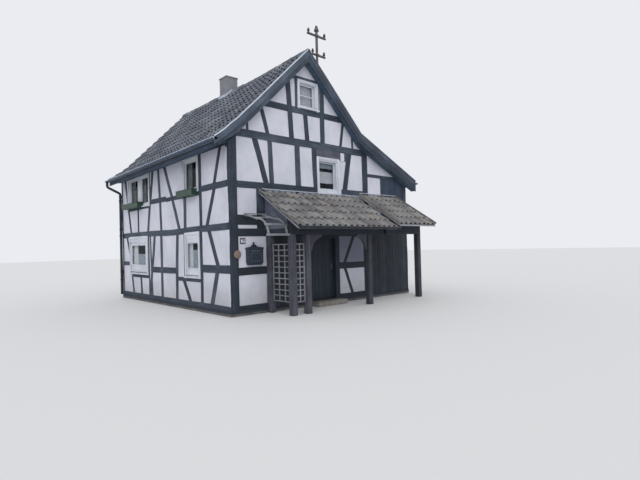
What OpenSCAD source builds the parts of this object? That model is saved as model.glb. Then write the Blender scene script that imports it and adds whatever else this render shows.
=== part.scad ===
// Half timbered house with a catslide lean-to, a tiled porch and a plain party wall at the far end.
// Every module is drawn from the street corner: X runs along the gable, Y along the street wall.

/* [Footprint] */
// Length of the street wall, from the gable to the party wall
street_l = 7300; // [6900:50:8400]
// Width of the tall gable between its two corner posts
gable_w = 4970; // [4900:10:5060]
// Width of the lean-to under the catslide roof
leanto_w = 1930; // [1500:10:2400]
// Thickness of the timber-framed walls
wall_t = 160; // [140:10:190]
// How far the plaster lies behind the faces of the timbers
infill_set = 12; // [6:1:25]
// Width of the street corner post, seen on the gable
corner_post_w = 240; // [200:10:280]
// Width of the street corner post, seen on the street wall
corner_post_d = 130; // [120:10:200]

/* [Levels] */
// Height of the masonry plinth
plinth_h = 130; // [110:5:150]
// How far the plinth stands out from the timbers
plinth_out = 15; // [5:5:30]
// Height of the sill beam on the plinth
sill_h = 115; // [100:5:130]
// Thickness of the ground floor on the plinth
ground_floor_t = 25; // [20:5:40]
// Underside of the floor beam in the street wall
floor_beam_z = 2100; // [2080:5:2120]
// Height of the floor beam in the street wall
floor_beam_h = 170; // [150:5:190]
// Underside of the floor beam in the gable
gable_beam_z = 1930; // [1910:5:1950]
// Height of the floor beam in the gable
gable_beam_h = 200; // [180:5:210]
// Underside of the rail over the floor beam in the gable
gable_rail_z = 2220; // [2210:5:2240]
// Height of the rail over the floor beam in the gable
gable_rail_h = 250; // [220:5:270]
// Underside of the wall plate on the street wall
plate_z = 4150; // [4120:5:4170]
// Height of the wall plate at its outer face
plate_h = 85; // [80:5:110]
// How far the attic floor and the gable's tie beam lie above the wall plate's underside
tie_rise = 230; // [215:5:250]
// Height of the tie beam and thickness of the attic floor
tie_h = 190; // [170:5:200]
// How far the lower collar beam lies above the tie beam's underside
collar_rise = 860; // [840:5:880]
// Height of the lower collar beam
collar_h = 170; // [150:5:190]
// How far the upper collar beam lies above the tie beam's underside
top_collar_rise = 1785; // [1765:5:1790]
// Height of the upper collar beam
top_collar_h = 110; // [90:5:130]

/* [Roof] */
// Distance of the ridge past the middle of the gable
ridge_shift = 5; // [-35:5:45]
// Pitch of the two main slopes in degrees
main_pitch = 45; // [44.6:0.1:45.4]
// Distance from the street wall at which the street slope flattens
sprocket_x = 150; // [100:10:150]
// Pitch of the flatter foot of the street slope in degrees
sprocket_pitch = 35; // [34:0.5:36]
// Overhang of the street eave
eave_out = 460; // [430:10:490]
// Distance of the kink above the catslide inside the gable's right corner
kink_in = 440; // [400:10:480]
// Pitch of the catslide in degrees
catslide_pitch = 24; // [23:0.5:25]
// Overhang of the eave at the foot of the catslide
catslide_out = 300; // [200:10:350]
// Depth of tiles, battens and boards, measured plumb
cover_d = 170; // [150:5:180]
// Depth of the rafters, measured plumb
rafter_d = 170; // [150:5:190]
// Width of a rafter
rafter_w = 120; // [100:5:140]
// Pairs of rafters between the two gables
rafter_count = 9; // [9:1:9]
// Overhang of the verge in front of the gable
verge_out = 200; // [150:10:250]
// How far the roof covers the party wall's far side
party_out = 50; // [20:10:60]
// Thickness of the barge boards
barge_t = 25; // [20:1:35]
// Thickness of the soffit boards
soffit_t = 20; // [15:1:25]
// Outer radius of the ridge tiles
ridge_tile_r = 115; // [100:5:130]

/* [Chimney and mast] */
// Width of the chimney across the ridge
chimney_w = 430; // [420:10:460]
// Depth of the chimney along the ridge
chimney_d = 460; // [440:10:480]
// Distance of the chimney's near face from the gable
chimney_y = 3760; // [3750:5:3780]
// How far the chimney stands above the ridge
chimney_up = 430; // [330:10:580]
// Distance of the service mast from the ridge, towards the garden
mast_off = 850; // [710:10:960]
// Distance of the service mast behind the gable
mast_y = 400; // [300:10:500]
// Outer radius of the mast tube
mast_r = 38; // [30:1:45]
// Height of the bell insulator on the mast's top
mast_head_h = 170; // [120:5:180]
// How far the mast stands above the ridge
mast_up = 1160; // [1080:10:1280]
// Depth of the long crossarm below the top of the mast
long_arm_drop = 280; // [230:10:380]
// Depth of the short crossarm below the top of the mast
short_arm_drop = 850; // [780:10:930]

/* [Windows and door] */
// Width of a window's wooden frame seen from outside
frame_w = 60; // [50:5:70]
// How far a pane lies behind the face of the wall
pane_set = 60; // [50:5:80]
// Thickness of the panes
pane_t = 12; // [8:1:20]
// Distance of the doorway's left side from the street wall
door_x = 2560; // [2540:10:2580]
// Width of the doorway between the posts
door_w = 1000; // [960:10:1000]
// Width of a door jamb and height of the head
jamb_w = 45; // [40:5:55]
// Thickness of the door leaf
leaf_t = 48; // [40:1:50]
// Clearance round the door leaf
leaf_gap = 8; // [6:1:10]
// Width of the stone step in front of the door
step_w = 1100; // [1000:10:1200]
// Depth of the stone step
step_d = 340; // [280:10:400]

/* [Porch] */
// Left end of the porch roof
porch_x0 = 850; // [830:10:880]
// Right end of the porch roof
porch_x1 = 4450; // [4400:10:4480]
// Height of the top edge of the porch roof at the wall
porch_top = 3140; // [3120:10:3140]
// Pitch of the porch roof in degrees
porch_pitch = 32; // [31:0.5:33]
// Distance from the gable to the porch eave
porch_out = 1570; // [1500:10:1650]
// Depth of the porch roof, measured plumb
porch_cover_d = 110; // [90:5:120]
// Distance from the gable to the front of the porch posts
porch_front = 1050; // [1000:10:1100]
// Side of a square porch post
porch_post = 150; // [130:5:160]
// Left side of the porch's corner post
porch_side_x = 1050; // [1000:10:1080]
// Left side of the post beside the entrance
porch_mid_x = 1510; // [1480:10:1540]
// Left side of the right-hand post
porch_right_x = 3770; // [3740:10:3800]
// Underside of the porch beam
porch_beam_z = 1950; // [1920:10:1980]
// Radius of the curved braces under the porch beam
brace_r = 420; // [380:10:460]
// Height of the top of the porch lattices
lattice_top = 1730; // [1700:10:1760]
// Height between the lattice bars
lattice_rise = 134; // [120:2:150]
// Number of lattice bays along the porch's side
side_lattice_bays = 3; // [2:1:6]
// Number of lattice bays along the porch's front
front_lattice_bays = 2; // [2:1:4]
// Width of a lattice bar
lattice_bar = 26; // [20:1:32]
// Right end of the lean-to porch roof beside the porch
side_porch_x1 = 6300; // [6200:10:6400]
// How much the side porch roof lies above the porch roof
side_porch_up = 100; // [80:10:120]

/* [Small pieces] */
// Radius of the eave gutter
gutter_r = 62; // [55:1:70]
// Thickness of the gutter's wall
gutter_t = 5; // [4:1:6]
// Radius of the downpipe
pipe_r = 45; // [40:1:50]
// Width of the letter box
letter_box_w = 470; // [420:10:520]
// Height of the letter box
letter_box_h = 500; // [460:10:540]
// Depth of the letter box
letter_box_d = 130; // [100:5:160]
// Radius of the slice of log on the corner post
log_r = 105; // [90:5:115]
// Height of a flower box
trough_h = 170; // [150:5:190]
// Depth of a flower box
trough_d = 190; // [170:5:210]

/* [Hidden] */

$fn = 48;
total_w = gable_w + leanto_w;
inner_x = total_w - wall_t;
inner_y = street_l - wall_t;
wall_foot = plinth_h + sill_h;
floor_top = floor_beam_z + floor_beam_h;
tie_z = plate_z + tie_rise;
collar_z = tie_z + collar_rise;
top_collar_z = tie_z + top_collar_rise;
joint = 1;
seat_gap = 0.3;
eps = 1;
far = 9000;

dark_timber = "#2b2d33";
weathered = "#8b7f70";
plaster = "#f1f0f2";
board_blue = "#3a404b";
tile_grey = "#4b484b";
porch_tile = "#77685e";

ridge_x = gable_w / 2 + ridge_shift;
kink_x = gable_w - kink_in;
sprocket_z = plate_z + plate_h + rafter_d + cover_d + sprocket_x * tan(sprocket_pitch);
ridge_z = sprocket_z + (ridge_x - sprocket_x) * tan(main_pitch);
kink_z = ridge_z - (kink_x - ridge_x) * tan(main_pitch);
chimney_top = ridge_z + chimney_up;
mast_x = ridge_x + mast_off;
mast_top = ridge_z + mast_up;
long_arm_z = mast_top - long_arm_drop;
short_arm_z = mast_top - short_arm_drop;

// Height of the top of the tiles over a distance x from the street wall
function tile_z(x) =
    x < sprocket_x ? sprocket_z - (sprocket_x - x) * tan(sprocket_pitch)
    : x < ridge_x ? ridge_z - (ridge_x - x) * tan(main_pitch)
    : x < kink_x ? ridge_z - (x - ridge_x) * tan(main_pitch)
    : kink_z - (x - kink_x) * tan(catslide_pitch);

// Underside of the covering and of the rafters over x
function cover_z(x) = tile_z(x) - cover_d;
function rafter_z(x) = cover_z(x) - rafter_d;

roof_x = [-eave_out, sprocket_x, ridge_x, kink_x, total_w + catslide_out];
fascia_x = 80 - eave_out;
nose_t = 55;

// Moves a drawing made from the street corner so that the footprint is centred
module at_corner() {
    translate([-total_w / 2, -street_l / 2, 0]) children();
}

// Stands a drawing of (Y, Z) on the street side, from depth x0 over thickness t
module street_plane(x0, t) {
    translate([x0, 0, 0]) rotate([90, 0, 90]) linear_extrude(t) children();
}

// Stands a drawing of (X, Z) on the gable side, from depth y0 over thickness t
module gable_plane(y0, t) {
    translate([0, y0 + t, 0]) rotate([90, 0, 0]) linear_extrude(t) children();
}

// One timber from its foot to its head, each given as its middle, with one width
module member(foot, head, w) {
    polygon([[foot[0] - w / 2, foot[1]], [foot[0] + w / 2, foot[1]],
        [head[0] + w / 2, head[1]], [head[0] - w / 2, head[1]]]);
}

// An upright rectangle from corner a to corner b
module bay(a, b) {
    translate(a) square(b - a);
}

// A strip that follows the roof between two distances, d0 to d1 below the tiles
module roof_strip(x0, x1, d0, d1) {
    bends = [for (x = roof_x) if (x > x0 && x < x1) x];
    xs = concat([x0], bends, [x1]);
    back = [for (i = [len(xs) - 1:-1:0]) xs[i]];
    polygon(concat([for (x = xs) [x, tile_z(x) - d0]], [for (x = back) [x, tile_z(x) - d1]]));
}

// All that lies under the rafters, just clear of them
module under_rafters() {
    polygon(concat([[-eave_out, 0]],
        [for (x = roof_x) [x, rafter_z(x) - seat_gap]],
        [[total_w + catslide_out, 0]]));
}

// Street wall, drawn as (Y, Z)
// Near members are measured from the street corner, far ones back from the far end of the wall
// A post is [foot, head, width, kind]: kind 0 ends under a sill, 1 runs through, 2 stands on one,
// 3 ends under the rail of the flower box
low = [wall_foot, floor_beam_z];
high = [floor_top, plate_z];
far_post_w = 100;
lower_sill_z = [770, 880];
upper_sill_z = [3000, 3080];
trough_rail_z = [3080, 3200];
near_rail_z = [1040, 1240];
middle_rail_z = [965, 1140];
far_rail_z = [1150, 1280];
upper_near_rail_z = [3150, 3310];
upper_middle_rail_z = [3100, 3250];
near_low_posts = [[2950, 2860, 150, 1], [2425, 2425, 50, 2], [1450, 1450, 130, 1]];
far_low_posts = [[1730, 1670, 130, 0], [2385, 2345, 85, 1], [2600, 2490, 80, 1], [3350, 3330, 145, 1]];
near_high_posts = [[2350, 2330, 150, 3], [2400, 2440, 45, 2], [1415, 1455, 135, 1]];
far_high_posts = [[1530, 1530, 105, 0], [2530, 2530, 60, 2], [3340, 3210, 130, 1]];
function from_far(posts) = [for (p = posts) [street_l - p[0], street_l - p[1], p[2], p[3]]];
street_low_posts = concat(near_low_posts, from_far(far_low_posts));
street_high_posts = concat(near_high_posts, from_far(far_high_posts));

module street_posts_2d() {
    for (p = street_low_posts) {
        foot_z = p[3] == 2 ? lower_sill_z[1] : low[0];
        head_z = p[3] == 0 ? lower_sill_z[0] : low[1];
        member([p[0], foot_z], [p[1], head_z], p[2]);
    }
    for (p = street_high_posts) {
        foot_z = p[3] == 2 ? trough_rail_z[1] : high[0];
        head_z = p[3] == 3 ? trough_rail_z[0] : p[3] == 0 ? upper_sill_z[0] : high[1];
        member([p[0], foot_z], [p[1], head_z], p[2]);
    }
}

// Rails are [near end, far end, heights]
street_rails = [
    [corner_post_d, 1420, near_rail_z],
    [2960, street_l - 2650, middle_rail_z],
    [street_l - 700, street_l - far_post_w, far_rail_z],
    [street_l - 2370, street_l - 860, lower_sill_z],
    [1500, 2900, lower_sill_z],
    [corner_post_d, 1440, upper_near_rail_z],
    [3600, street_l - 2500, upper_middle_rail_z],
    [1450, 3600, trough_rail_z],
    [street_l - 2480, street_l - 580, upper_sill_z]];

module street_rails_2d() {
    difference() {
        for (r = street_rails) bay([r[0], r[2][0]], [r[1], r[2][1]]);
        street_posts_2d();
    }
}

// Braces are [foot, its height, head, its height, width]
near_braces = [
    [2120, low[0], 2470, lower_sill_z[0], 170],
    [600, near_rail_z[1], 1000, low[1], 160],
    [920, low[0], 640, near_rail_z[0], 180],
    [2730, high[0], 3650, high[1], 150],
    [1090, high[0], 710, upper_near_rail_z[0], 140],
    [690, upper_near_rail_z[1], 380, high[1], 125]];
far_braces = [
    [872, far_rail_z[0], 460, low[1], 125],
    [1030, low[0], 870, lower_sill_z[0], 125],
    [2430, low[0], 2840, low[1], 140],
    [850, high[0], 370, high[1], 120],
    [2340, high[0], 2790, high[1], 140]];

module street_braces_2d() {
    difference() {
        union() {
            for (b = near_braces) member([b[0], b[1]], [b[2], b[3]], b[4]);
            for (b = far_braces) member([street_l - b[0], b[1]], [street_l - b[2], b[3]], b[4]);
        }
        street_posts_2d();
        street_rails_2d();
        street_window_2d();
    }
}

// Window openings in the street wall: [near side, foot, far side, head]
street_openings = [
    [street_l - 2280, lower_sill_z[1], street_l - 740, floor_beam_z],
    [1540, lower_sill_z[1], 2350, floor_beam_z],
    [street_l - 2500, upper_sill_z[1], street_l - 670, plate_z],
    [1540, trough_rail_z[1], 2370, plate_z]];

module street_window_2d() {
    for (o = street_openings) bay([o[0], o[1]], [o[2], o[3]]);
}

module street_beams_2d() {
    bay([corner_post_d, plinth_h], [street_l - far_post_w, wall_foot]);
    bay([corner_post_d, floor_beam_z], [street_l - far_post_w, floor_top]);
    street_rails_2d();
}

module street_infill_2d() {
    difference() {
        bay([corner_post_d, wall_foot], [street_l - far_post_w, plate_z]);
        street_beams_2d();
        street_posts_2d();
        street_braces_2d();
        street_window_2d();
    }
}

// Gable, drawn as (X, Z)
second_post_x = gable_w - corner_post_w;
low_rail = [975, 1165];
porch_wall_post = [porch_side_x - 250, porch_side_x];
mid_rail = [3140, 3310];
attic_foot = tie_z + tie_h;
collar_top = collar_z + collar_h;
lintel_h = 230;
gable_opening = [gable_w - 2070, mid_rail[0], gable_w - 1160, tie_z - lintel_h];
attic_opening = [ridge_x - 250, collar_top, ridge_x + 510, top_collar_z];
leanto_rail_z = [tie_z - 610, tie_z - 510];
leanto_post_x = gable_w + 650;
leanto_post_w = 120;
leanto_stud_w = 70;

module gable_posts_2d() {
    intersection() {
        union() {
            bay([1070, wall_foot], [1190, gable_beam_z]);
            bay([1800, wall_foot], [1920, gable_beam_z]);
            bay([door_x - 120, wall_foot], [door_x, gable_beam_z]);
            bay([door_x + door_w, wall_foot], [door_x + door_w + 110, gable_beam_z]);
            member([leanto_post_x, wall_foot], [leanto_post_x, gable_rail_z], leanto_post_w);
            member([1290, mid_rail[1]], [1240, tie_z], 140);
            member([2190, mid_rail[1]], [2170, tie_z], 180);
            member([gable_w - 2150, mid_rail[1]], [gable_w - 2190, tie_z], 160);
            member([gable_w - 1010, mid_rail[1]], [gable_w - 800, tie_z], 185);
            bay([porch_wall_post[0], gable_beam_z + gable_beam_h], [porch_wall_post[1], mid_rail[0]]);
            bay([2080, gable_rail_z + gable_rail_h], [2200, mid_rail[0]]);
            bay([gable_w - 1130, gable_rail_z + gable_rail_h], [gable_w - 1010, mid_rail[0]]);
            member([leanto_post_x, gable_rail_z + gable_rail_h], [leanto_post_x, leanto_rail_z[0]],
                leanto_stud_w);
            member([ridge_x - 510, attic_foot], [ridge_x - 610, top_collar_z], 160);
            member([ridge_x + 60, attic_foot], [ridge_x - 10, collar_z], 150);
            member([ridge_x + 630, attic_foot], [ridge_x + 610, ridge_z], 165);
            bay([ridge_x - 360, collar_top], [ridge_x - 290, top_collar_z]);
            bay([540, attic_foot], [600, collar_z]);
            bay([gable_w - 680, attic_foot], [gable_w - 610, collar_z]);
        }
        under_rafters();
    }
}

module gable_beams_2d() {
    difference() {
        intersection() {
            union() {
                bay([corner_post_w, plinth_h], [door_x, wall_foot]);
                bay([door_x + door_w, plinth_h], [second_post_x, wall_foot]);
                bay([gable_w, plinth_h], [inner_x, wall_foot]);
                bay([corner_post_w, gable_beam_z], [second_post_x, gable_beam_z + gable_beam_h]);
                bay([corner_post_w, gable_rail_z], [second_post_x, gable_rail_z + gable_rail_h]);
                bay([gable_w, gable_rail_z], [inner_x, gable_rail_z + gable_rail_h]);
                bay([corner_post_w, low_rail[0]], [door_x, low_rail[1]]);
                bay([door_x + door_w, low_rail[0]], [second_post_x, low_rail[1]]);
                bay([gable_w, low_rail[0]], [inner_x, low_rail[1]]);
                bay([corner_post_w, mid_rail[0]], [gable_opening[0], mid_rail[1]]);
                bay([gable_opening[2], mid_rail[0]], [second_post_x, mid_rail[1]]);
                bay([gable_w, leanto_rail_z[0]], [inner_x, leanto_rail_z[1]]);
                bay([corner_post_w, tie_z], [second_post_x, attic_foot]);
                bay([gable_opening[0] - 40, gable_opening[3]], [gable_opening[2] + 280, tie_z]);
                bay([0, collar_z], [gable_w, collar_top]);
                bay([0, top_collar_z], [gable_w, top_collar_z + top_collar_h]);
            }
            under_rafters();
        }
        gable_posts_2d();
    }
}

module gable_braces_2d() {
    difference() {
        intersection() {
            union() {
                member([1110, mid_rail[1]], [780, tie_z], 160);
                member([1180, attic_foot], [990, collar_z], 120);
                member([gable_w - 1140, attic_foot], [gable_w - 1030, collar_z], 95);
                member([gable_w - 1080, low_rail[1]], [gable_w - 670, gable_beam_z], 110);
                member([gable_w - 790, wall_foot], [gable_w - 1070, low_rail[0]], 110);
            }
            under_rafters();
        }
        gable_posts_2d();
        gable_beams_2d();
        gable_openings_2d();
    }
}

module gable_openings_2d() {
    bay([gable_opening[0], gable_opening[1]], [gable_opening[2], gable_opening[3]]);
    bay([attic_opening[0], attic_opening[1]], [attic_opening[2], attic_opening[3]]);
    bay([door_x, plinth_h], [door_x + door_w, gable_beam_z]);
}

module leanto_boards_2d() {
    intersection() {
        bay([leanto_post_x + leanto_stud_w / 2, gable_rail_z + gable_rail_h],
            [inner_x, leanto_rail_z[0]]);
        under_rafters();
    }
}

module gable_infill_2d() {
    difference() {
        intersection() {
            bay([0, wall_foot], [inner_x, far]);
            under_rafters();
        }
        bay([0, 0], [corner_post_w, far]);
        bay([second_post_x, 0], [gable_w, far]);
        gable_posts_2d();
        gable_beams_2d();
        gable_braces_2d();
        gable_openings_2d();
        leanto_boards_2d();
    }
}

// Garden side under the catslide, drawn as (Y, Z)
garden_top = rafter_z(total_w) - seat_gap;
garden_plate_h = 130;
garden_post_w = 130;
garden_posts_y = [1500, 2700, street_l - 3000, street_l - 1800];
garden_jamb_y = street_l - 3500;
garden_rail = [980, 1120];
garden_head_z = floor_beam_z - 200;
garden_high = [floor_top + 350, garden_top - 385];
garden_lintel_h = 100;
garden_openings = [
    [garden_posts_y[0] + garden_post_w, garden_rail[1], garden_posts_y[1], garden_head_z],
    [garden_posts_y[2] + garden_post_w, garden_rail[1], garden_posts_y[3], garden_head_z],
    [garden_posts_y[1] + garden_post_w, garden_high[0], garden_jamb_y, garden_high[1]]];

module garden_openings_2d() {
    for (o = garden_openings) bay([o[0], o[1]], [o[2], o[3]]);
}

module garden_posts_2d() {
    for (y = garden_posts_y) {
        bay([y, wall_foot], [y + garden_post_w, floor_beam_z]);
        bay([y, floor_top], [y + garden_post_w, garden_top - garden_plate_h]);
    }
    bay([garden_jamb_y, garden_high[0]], [garden_jamb_y + garden_post_w, garden_high[1]]);
}

module garden_beams_2d() {
    difference() {
        union() {
            bay([wall_t, plinth_h], [inner_y, wall_foot]);
            bay([wall_t, floor_beam_z], [inner_y, floor_top]);
            bay([wall_t, garden_top - garden_plate_h], [inner_y, garden_top]);
            bay([wall_t, garden_rail[0]], [inner_y, garden_rail[1]]);
            for (i = [0, 2]) bay([garden_posts_y[i], garden_head_z],
                [garden_posts_y[i + 1], garden_head_z + garden_lintel_h]);
            for (z = [garden_high[0] - garden_lintel_h, garden_high[1]])
                bay([garden_posts_y[1], z], [garden_posts_y[2], z + garden_lintel_h]);
        }
        garden_posts_2d();
    }
}

module garden_infill_2d() {
    difference() {
        bay([wall_t, wall_foot], [inner_y, garden_top - garden_plate_h]);
        garden_posts_2d();
        garden_beams_2d();
        garden_openings_2d();
    }
}

// Masonry base with the footprint of the whole house
module plinth() {
    color(dark_timber) at_corner()
        translate([-plinth_out, -plinth_out, 0])
            cube([total_w + 2 * plinth_out, street_l + plinth_out, plinth_h]);
}

// The chimney's footprint, from height z0 over height h
module chimney_box(z0, h) {
    translate([ridge_x - chimney_w / 2, chimney_y, z0]) cube([chimney_w, chimney_d, h]);
}

// Room for the chimney and for the street corner post, which is deeper than the walls
module floor_cuts() {
    chimney_box(0, far);
    cube([corner_post_w, corner_post_d, far]);
}

module floor_slab(x0, x1, z0, t) {
    difference() {
        translate([x0, wall_t, z0]) cube([x1 - x0, inner_y - wall_t, t]);
        floor_cuts();
    }
}

module ground_floor() {
    color("#8a7a68") at_corner() floor_slab(wall_t, inner_x, plinth_h, ground_floor_t);
}

module upper_floor() {
    color("#8a7a68") at_corner() floor_slab(wall_t, inner_x, floor_beam_z, floor_beam_h);
}

// The attic floor is cut back under the rafters on the street side
module attic_floor() {
    color("#8a7a68") at_corner() difference() {
        gable_plane(wall_t, inner_y - wall_t) intersection() {
            bay([wall_t, tie_z], [gable_w - wall_t, tie_z + tie_h]);
            under_rafters();
        }
        floor_cuts();
    }
}

// The four corner posts run through both storeys
module corner_posts() {
    color(dark_timber) at_corner() {
        gable_plane(0, corner_post_d) intersection() {
            bay([0, plinth_h], [corner_post_w, far]);
            under_rafters();
        }
        gable_plane(0, wall_t) intersection() {
            bay([second_post_x, plinth_h], [gable_w, far]);
            under_rafters();
        }
        gable_plane(0, wall_t) intersection() {
            bay([inner_x, plinth_h], [total_w, far]);
            under_rafters();
        }
        gable_plane(street_l - far_post_w, far_post_w) intersection() {
            bay([0, plinth_h], [wall_t, far]);
            under_rafters();
        }
        gable_plane(inner_y, wall_t) intersection() {
            bay([inner_x, plinth_h], [total_w, far]);
            under_rafters();
        }
    }
}

// Sill beam, floor beam, rails and the bevelled wall plate of the street wall
module street_beams() {
    color(dark_timber) at_corner() {
        street_plane(0, wall_t) street_beams_2d();
        gable_plane(corner_post_d, street_l - far_post_w - corner_post_d) intersection() {
            bay([0, plate_z], [wall_t, far]);
            under_rafters();
        }
    }
}

module street_posts() {
    color(dark_timber) at_corner() street_plane(0, wall_t) street_posts_2d();
}

module street_braces() {
    color(dark_timber) at_corner() street_plane(0, wall_t) street_braces_2d();
}

module street_infill() {
    color(plaster) at_corner() street_plane(infill_set, wall_t - infill_set) street_infill_2d();
}

module gable_beams() {
    color(dark_timber) at_corner() gable_plane(0, wall_t) gable_beams_2d();
}

module gable_posts() {
    color(dark_timber) at_corner() gable_plane(0, wall_t) gable_posts_2d();
}

module gable_braces() {
    color(dark_timber) at_corner() gable_plane(0, wall_t) gable_braces_2d();
}

module gable_infill() {
    color(plaster) at_corner() gable_plane(infill_set, wall_t - infill_set) gable_infill_2d();
}

module leanto_boards() {
    color(board_blue) at_corner() gable_plane(infill_set, wall_t - infill_set) leanto_boards_2d();
}

module garden_beams() {
    color(dark_timber) at_corner() street_plane(inner_x, wall_t) garden_beams_2d();
}

module garden_posts() {
    color(dark_timber) at_corner() street_plane(inner_x, wall_t) garden_posts_2d();
}

module garden_infill() {
    color(plaster) at_corner() street_plane(inner_x, wall_t - infill_set) garden_infill_2d();
}

// Plain rendered wall against the neighbouring building
module party_wall() {
    color("#c9c6c0") at_corner() gable_plane(inner_y, wall_t) intersection() {
        bay([wall_t, plinth_h], [inner_x, far]);
        under_rafters();
    }
}

// Beam that carries the rafters above the lean-to
module arcade_plate() {
    color(weathered) at_corner() gable_plane(wall_t, inner_y - wall_t) intersection() {
        bay([gable_w - wall_t, tie_z], [gable_w, far]);
        under_rafters();
    }
}

// Rafters in pairs, with those of the catslide below them
module rafters() {
    step = (street_l - rafter_w) / (rafter_count - 1);
    color(weathered) at_corner() for (i = [0:rafter_count - 1]) gable_plane(i * step, rafter_w) {
        roof_strip(0, ridge_x - joint, cover_d + seat_gap, cover_d + rafter_d);
        roof_strip(ridge_x + joint, kink_x - joint, cover_d + seat_gap, cover_d + rafter_d);
        roof_strip(kink_x + joint, total_w, cover_d + seat_gap, cover_d + rafter_d);
    }
}

// Length of the covering, from the verge to just past the party wall
module covering() {
    gable_plane(-verge_out, verge_out + street_l + party_out) children();
}

module street_roof() {
    thicknesses = [[-eave_out, fascia_x - seat_gap, nose_t], [fascia_x, sprocket_x - seat_gap, cover_d],
        [sprocket_x, ridge_x, cover_d]];
    color(tile_grey) at_corner() difference() {
        for (t = thicknesses) covering() roof_strip(t[0], t[1], 0, t[2]);
        chimney_box(cover_z(0), far);
    }
}

module garden_roof() {
    color(tile_grey) at_corner() difference() {
        covering() roof_strip(ridge_x, kink_x, 0, cover_d);
        chimney_box(cover_z(kink_x), far);
        translate([mast_x, mast_y, 0]) cylinder(r = mast_r, h = far);
    }
}

module catslide_roof() {
    color(tile_grey) at_corner()
        covering() roof_strip(kink_x, total_w + catslide_out, 0, cover_d);
}

// Half-round ridge tiles in front of the chimney and behind it
module ridge_tiles() {
    runs = [[-verge_out, chimney_y], [chimney_y + chimney_d, street_l + party_out]];
    color(tile_grey) at_corner() for (r = runs) gable_plane(r[0], r[1] - r[0]) difference() {
        translate([ridge_x, ridge_z - ridge_tile_r / 3]) circle(ridge_tile_r);
        roof_strip(ridge_x - 3 * ridge_tile_r, ridge_x + 3 * ridge_tile_r, 0, cover_d + far / 2);
    }
}

roof_runs = [[-eave_out + 80, sprocket_x - joint], [sprocket_x, ridge_x - joint], [ridge_x, kink_x - joint],
    [kink_x, total_w + catslide_out]];

module barge_boards() {
    color(board_blue) at_corner() for (r = roof_runs)
        gable_plane(-verge_out, barge_t)
            roof_strip(r[0], r[1], cover_d + seat_gap, cover_d + rafter_d + soffit_t);
}

// Boards under the verge and under the two eaves
module soffit_boards() {
    foot = tile_z(fascia_x) - cover_d;
    color(board_blue) at_corner() {
        for (r = roof_runs) gable_plane(barge_t - verge_out, verge_out - barge_t)
            roof_strip(max(r[0], 0), r[1], cover_d + rafter_d - soffit_t, cover_d + rafter_d);
        gable_plane(0, street_l)
            polygon([[fascia_x, foot - soffit_t], [-joint, plate_z + soffit_t],
                [-joint, plate_z + 2 * soffit_t], [fascia_x, foot]]);
        gable_plane(0, street_l)
            roof_strip(total_w + joint, total_w + catslide_out, cover_d + seat_gap, cover_d + soffit_t);
    }
}

// Rendered stack from the plinth to above the ridge, with a thin capping
module chimney() {
    color("#a99b86") at_corner() {
        chimney_box(plinth_h, chimney_top - 40 - plinth_h);
        translate([ridge_x - chimney_w / 2 - 20, chimney_y - 20, chimney_top - 40])
            cube([chimney_w + 40, chimney_d + 40, 40]);
    }
}

// Steel service mast through the garden slope, with two crossarms
long_arm_l = 720;
short_arm_l = 540;
arm_h = 50;
module roof_mast() {
    color("#5e6064") at_corner() translate([mast_x, mast_y, 0]) {
        translate([0, 0, tie_z + tie_h]) cylinder(r = mast_r, h = mast_top - tie_z - tie_h - mast_head_h);
        translate([0, 0, mast_top - mast_head_h]) cylinder(r1 = 70, r2 = 36, h = mast_head_h);
        translate([-long_arm_l / 2, -arm_h / 2, long_arm_z - arm_h]) cube([long_arm_l, arm_h, arm_h]);
        translate([-short_arm_l / 2 + 60, -arm_h / 2, short_arm_z - arm_h])
            cube([short_arm_l, arm_h, arm_h]);
    }
}

// Porcelain insulators standing on the ends of the crossarms
module insulator() {
    cylinder(r = 12, h = 30);
    translate([0, 0, 30]) cylinder(r1 = 42, r2 = 26, h = 70);
    translate([0, 0, 100]) cylinder(r = 30, h = 30);
}

module mast_insulators() {
    seats = [[-long_arm_l / 2 + 45, long_arm_z], [long_arm_l / 2 - 45, long_arm_z],
        [60 - short_arm_l / 2 + 45, short_arm_z], [60 + short_arm_l / 2 - 45, short_arm_z]];
    color("#8d8178") at_corner() for (s = seats)
        translate([mast_x + s[0], mast_y, s[1]]) insulator();
}

// Half-round trough along Y, with its top edge at height z
module trough(x, y0, y1, z, r) {
    translate([x, y1, z]) rotate([90, 0, 0]) linear_extrude(y1 - y0) difference() {
        circle(r);
        circle(r - gutter_t);
        bay([-2 * r, 0], [2 * r, 2 * r]);
    }
}

gutter_x = fascia_x - gutter_r;
gutter_z = tile_z(-eave_out) - nose_t - 10;
gutter_y0 = -verge_out;
gutter_y1 = street_l + 200;
garden_gutter_x = total_w + catslide_out + gutter_r;
garden_gutter_z = tile_z(total_w + catslide_out) - 60;

// Eave gutters of both sides and the porch gutter
module gutters() {
    color("#46505e") at_corner() {
        trough(gutter_x, gutter_y0, gutter_y1, gutter_z, gutter_r);
        trough(garden_gutter_x, gutter_y0, street_l, garden_gutter_z, gutter_r);
        translate([porch_x0, -porch_out - gutter_r, porch_eave_z() - 30]) rotate([0, 0, -90])
            trough(0, 0, porch_x1 - porch_x0, 0, gutter_r);
    }
}

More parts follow.
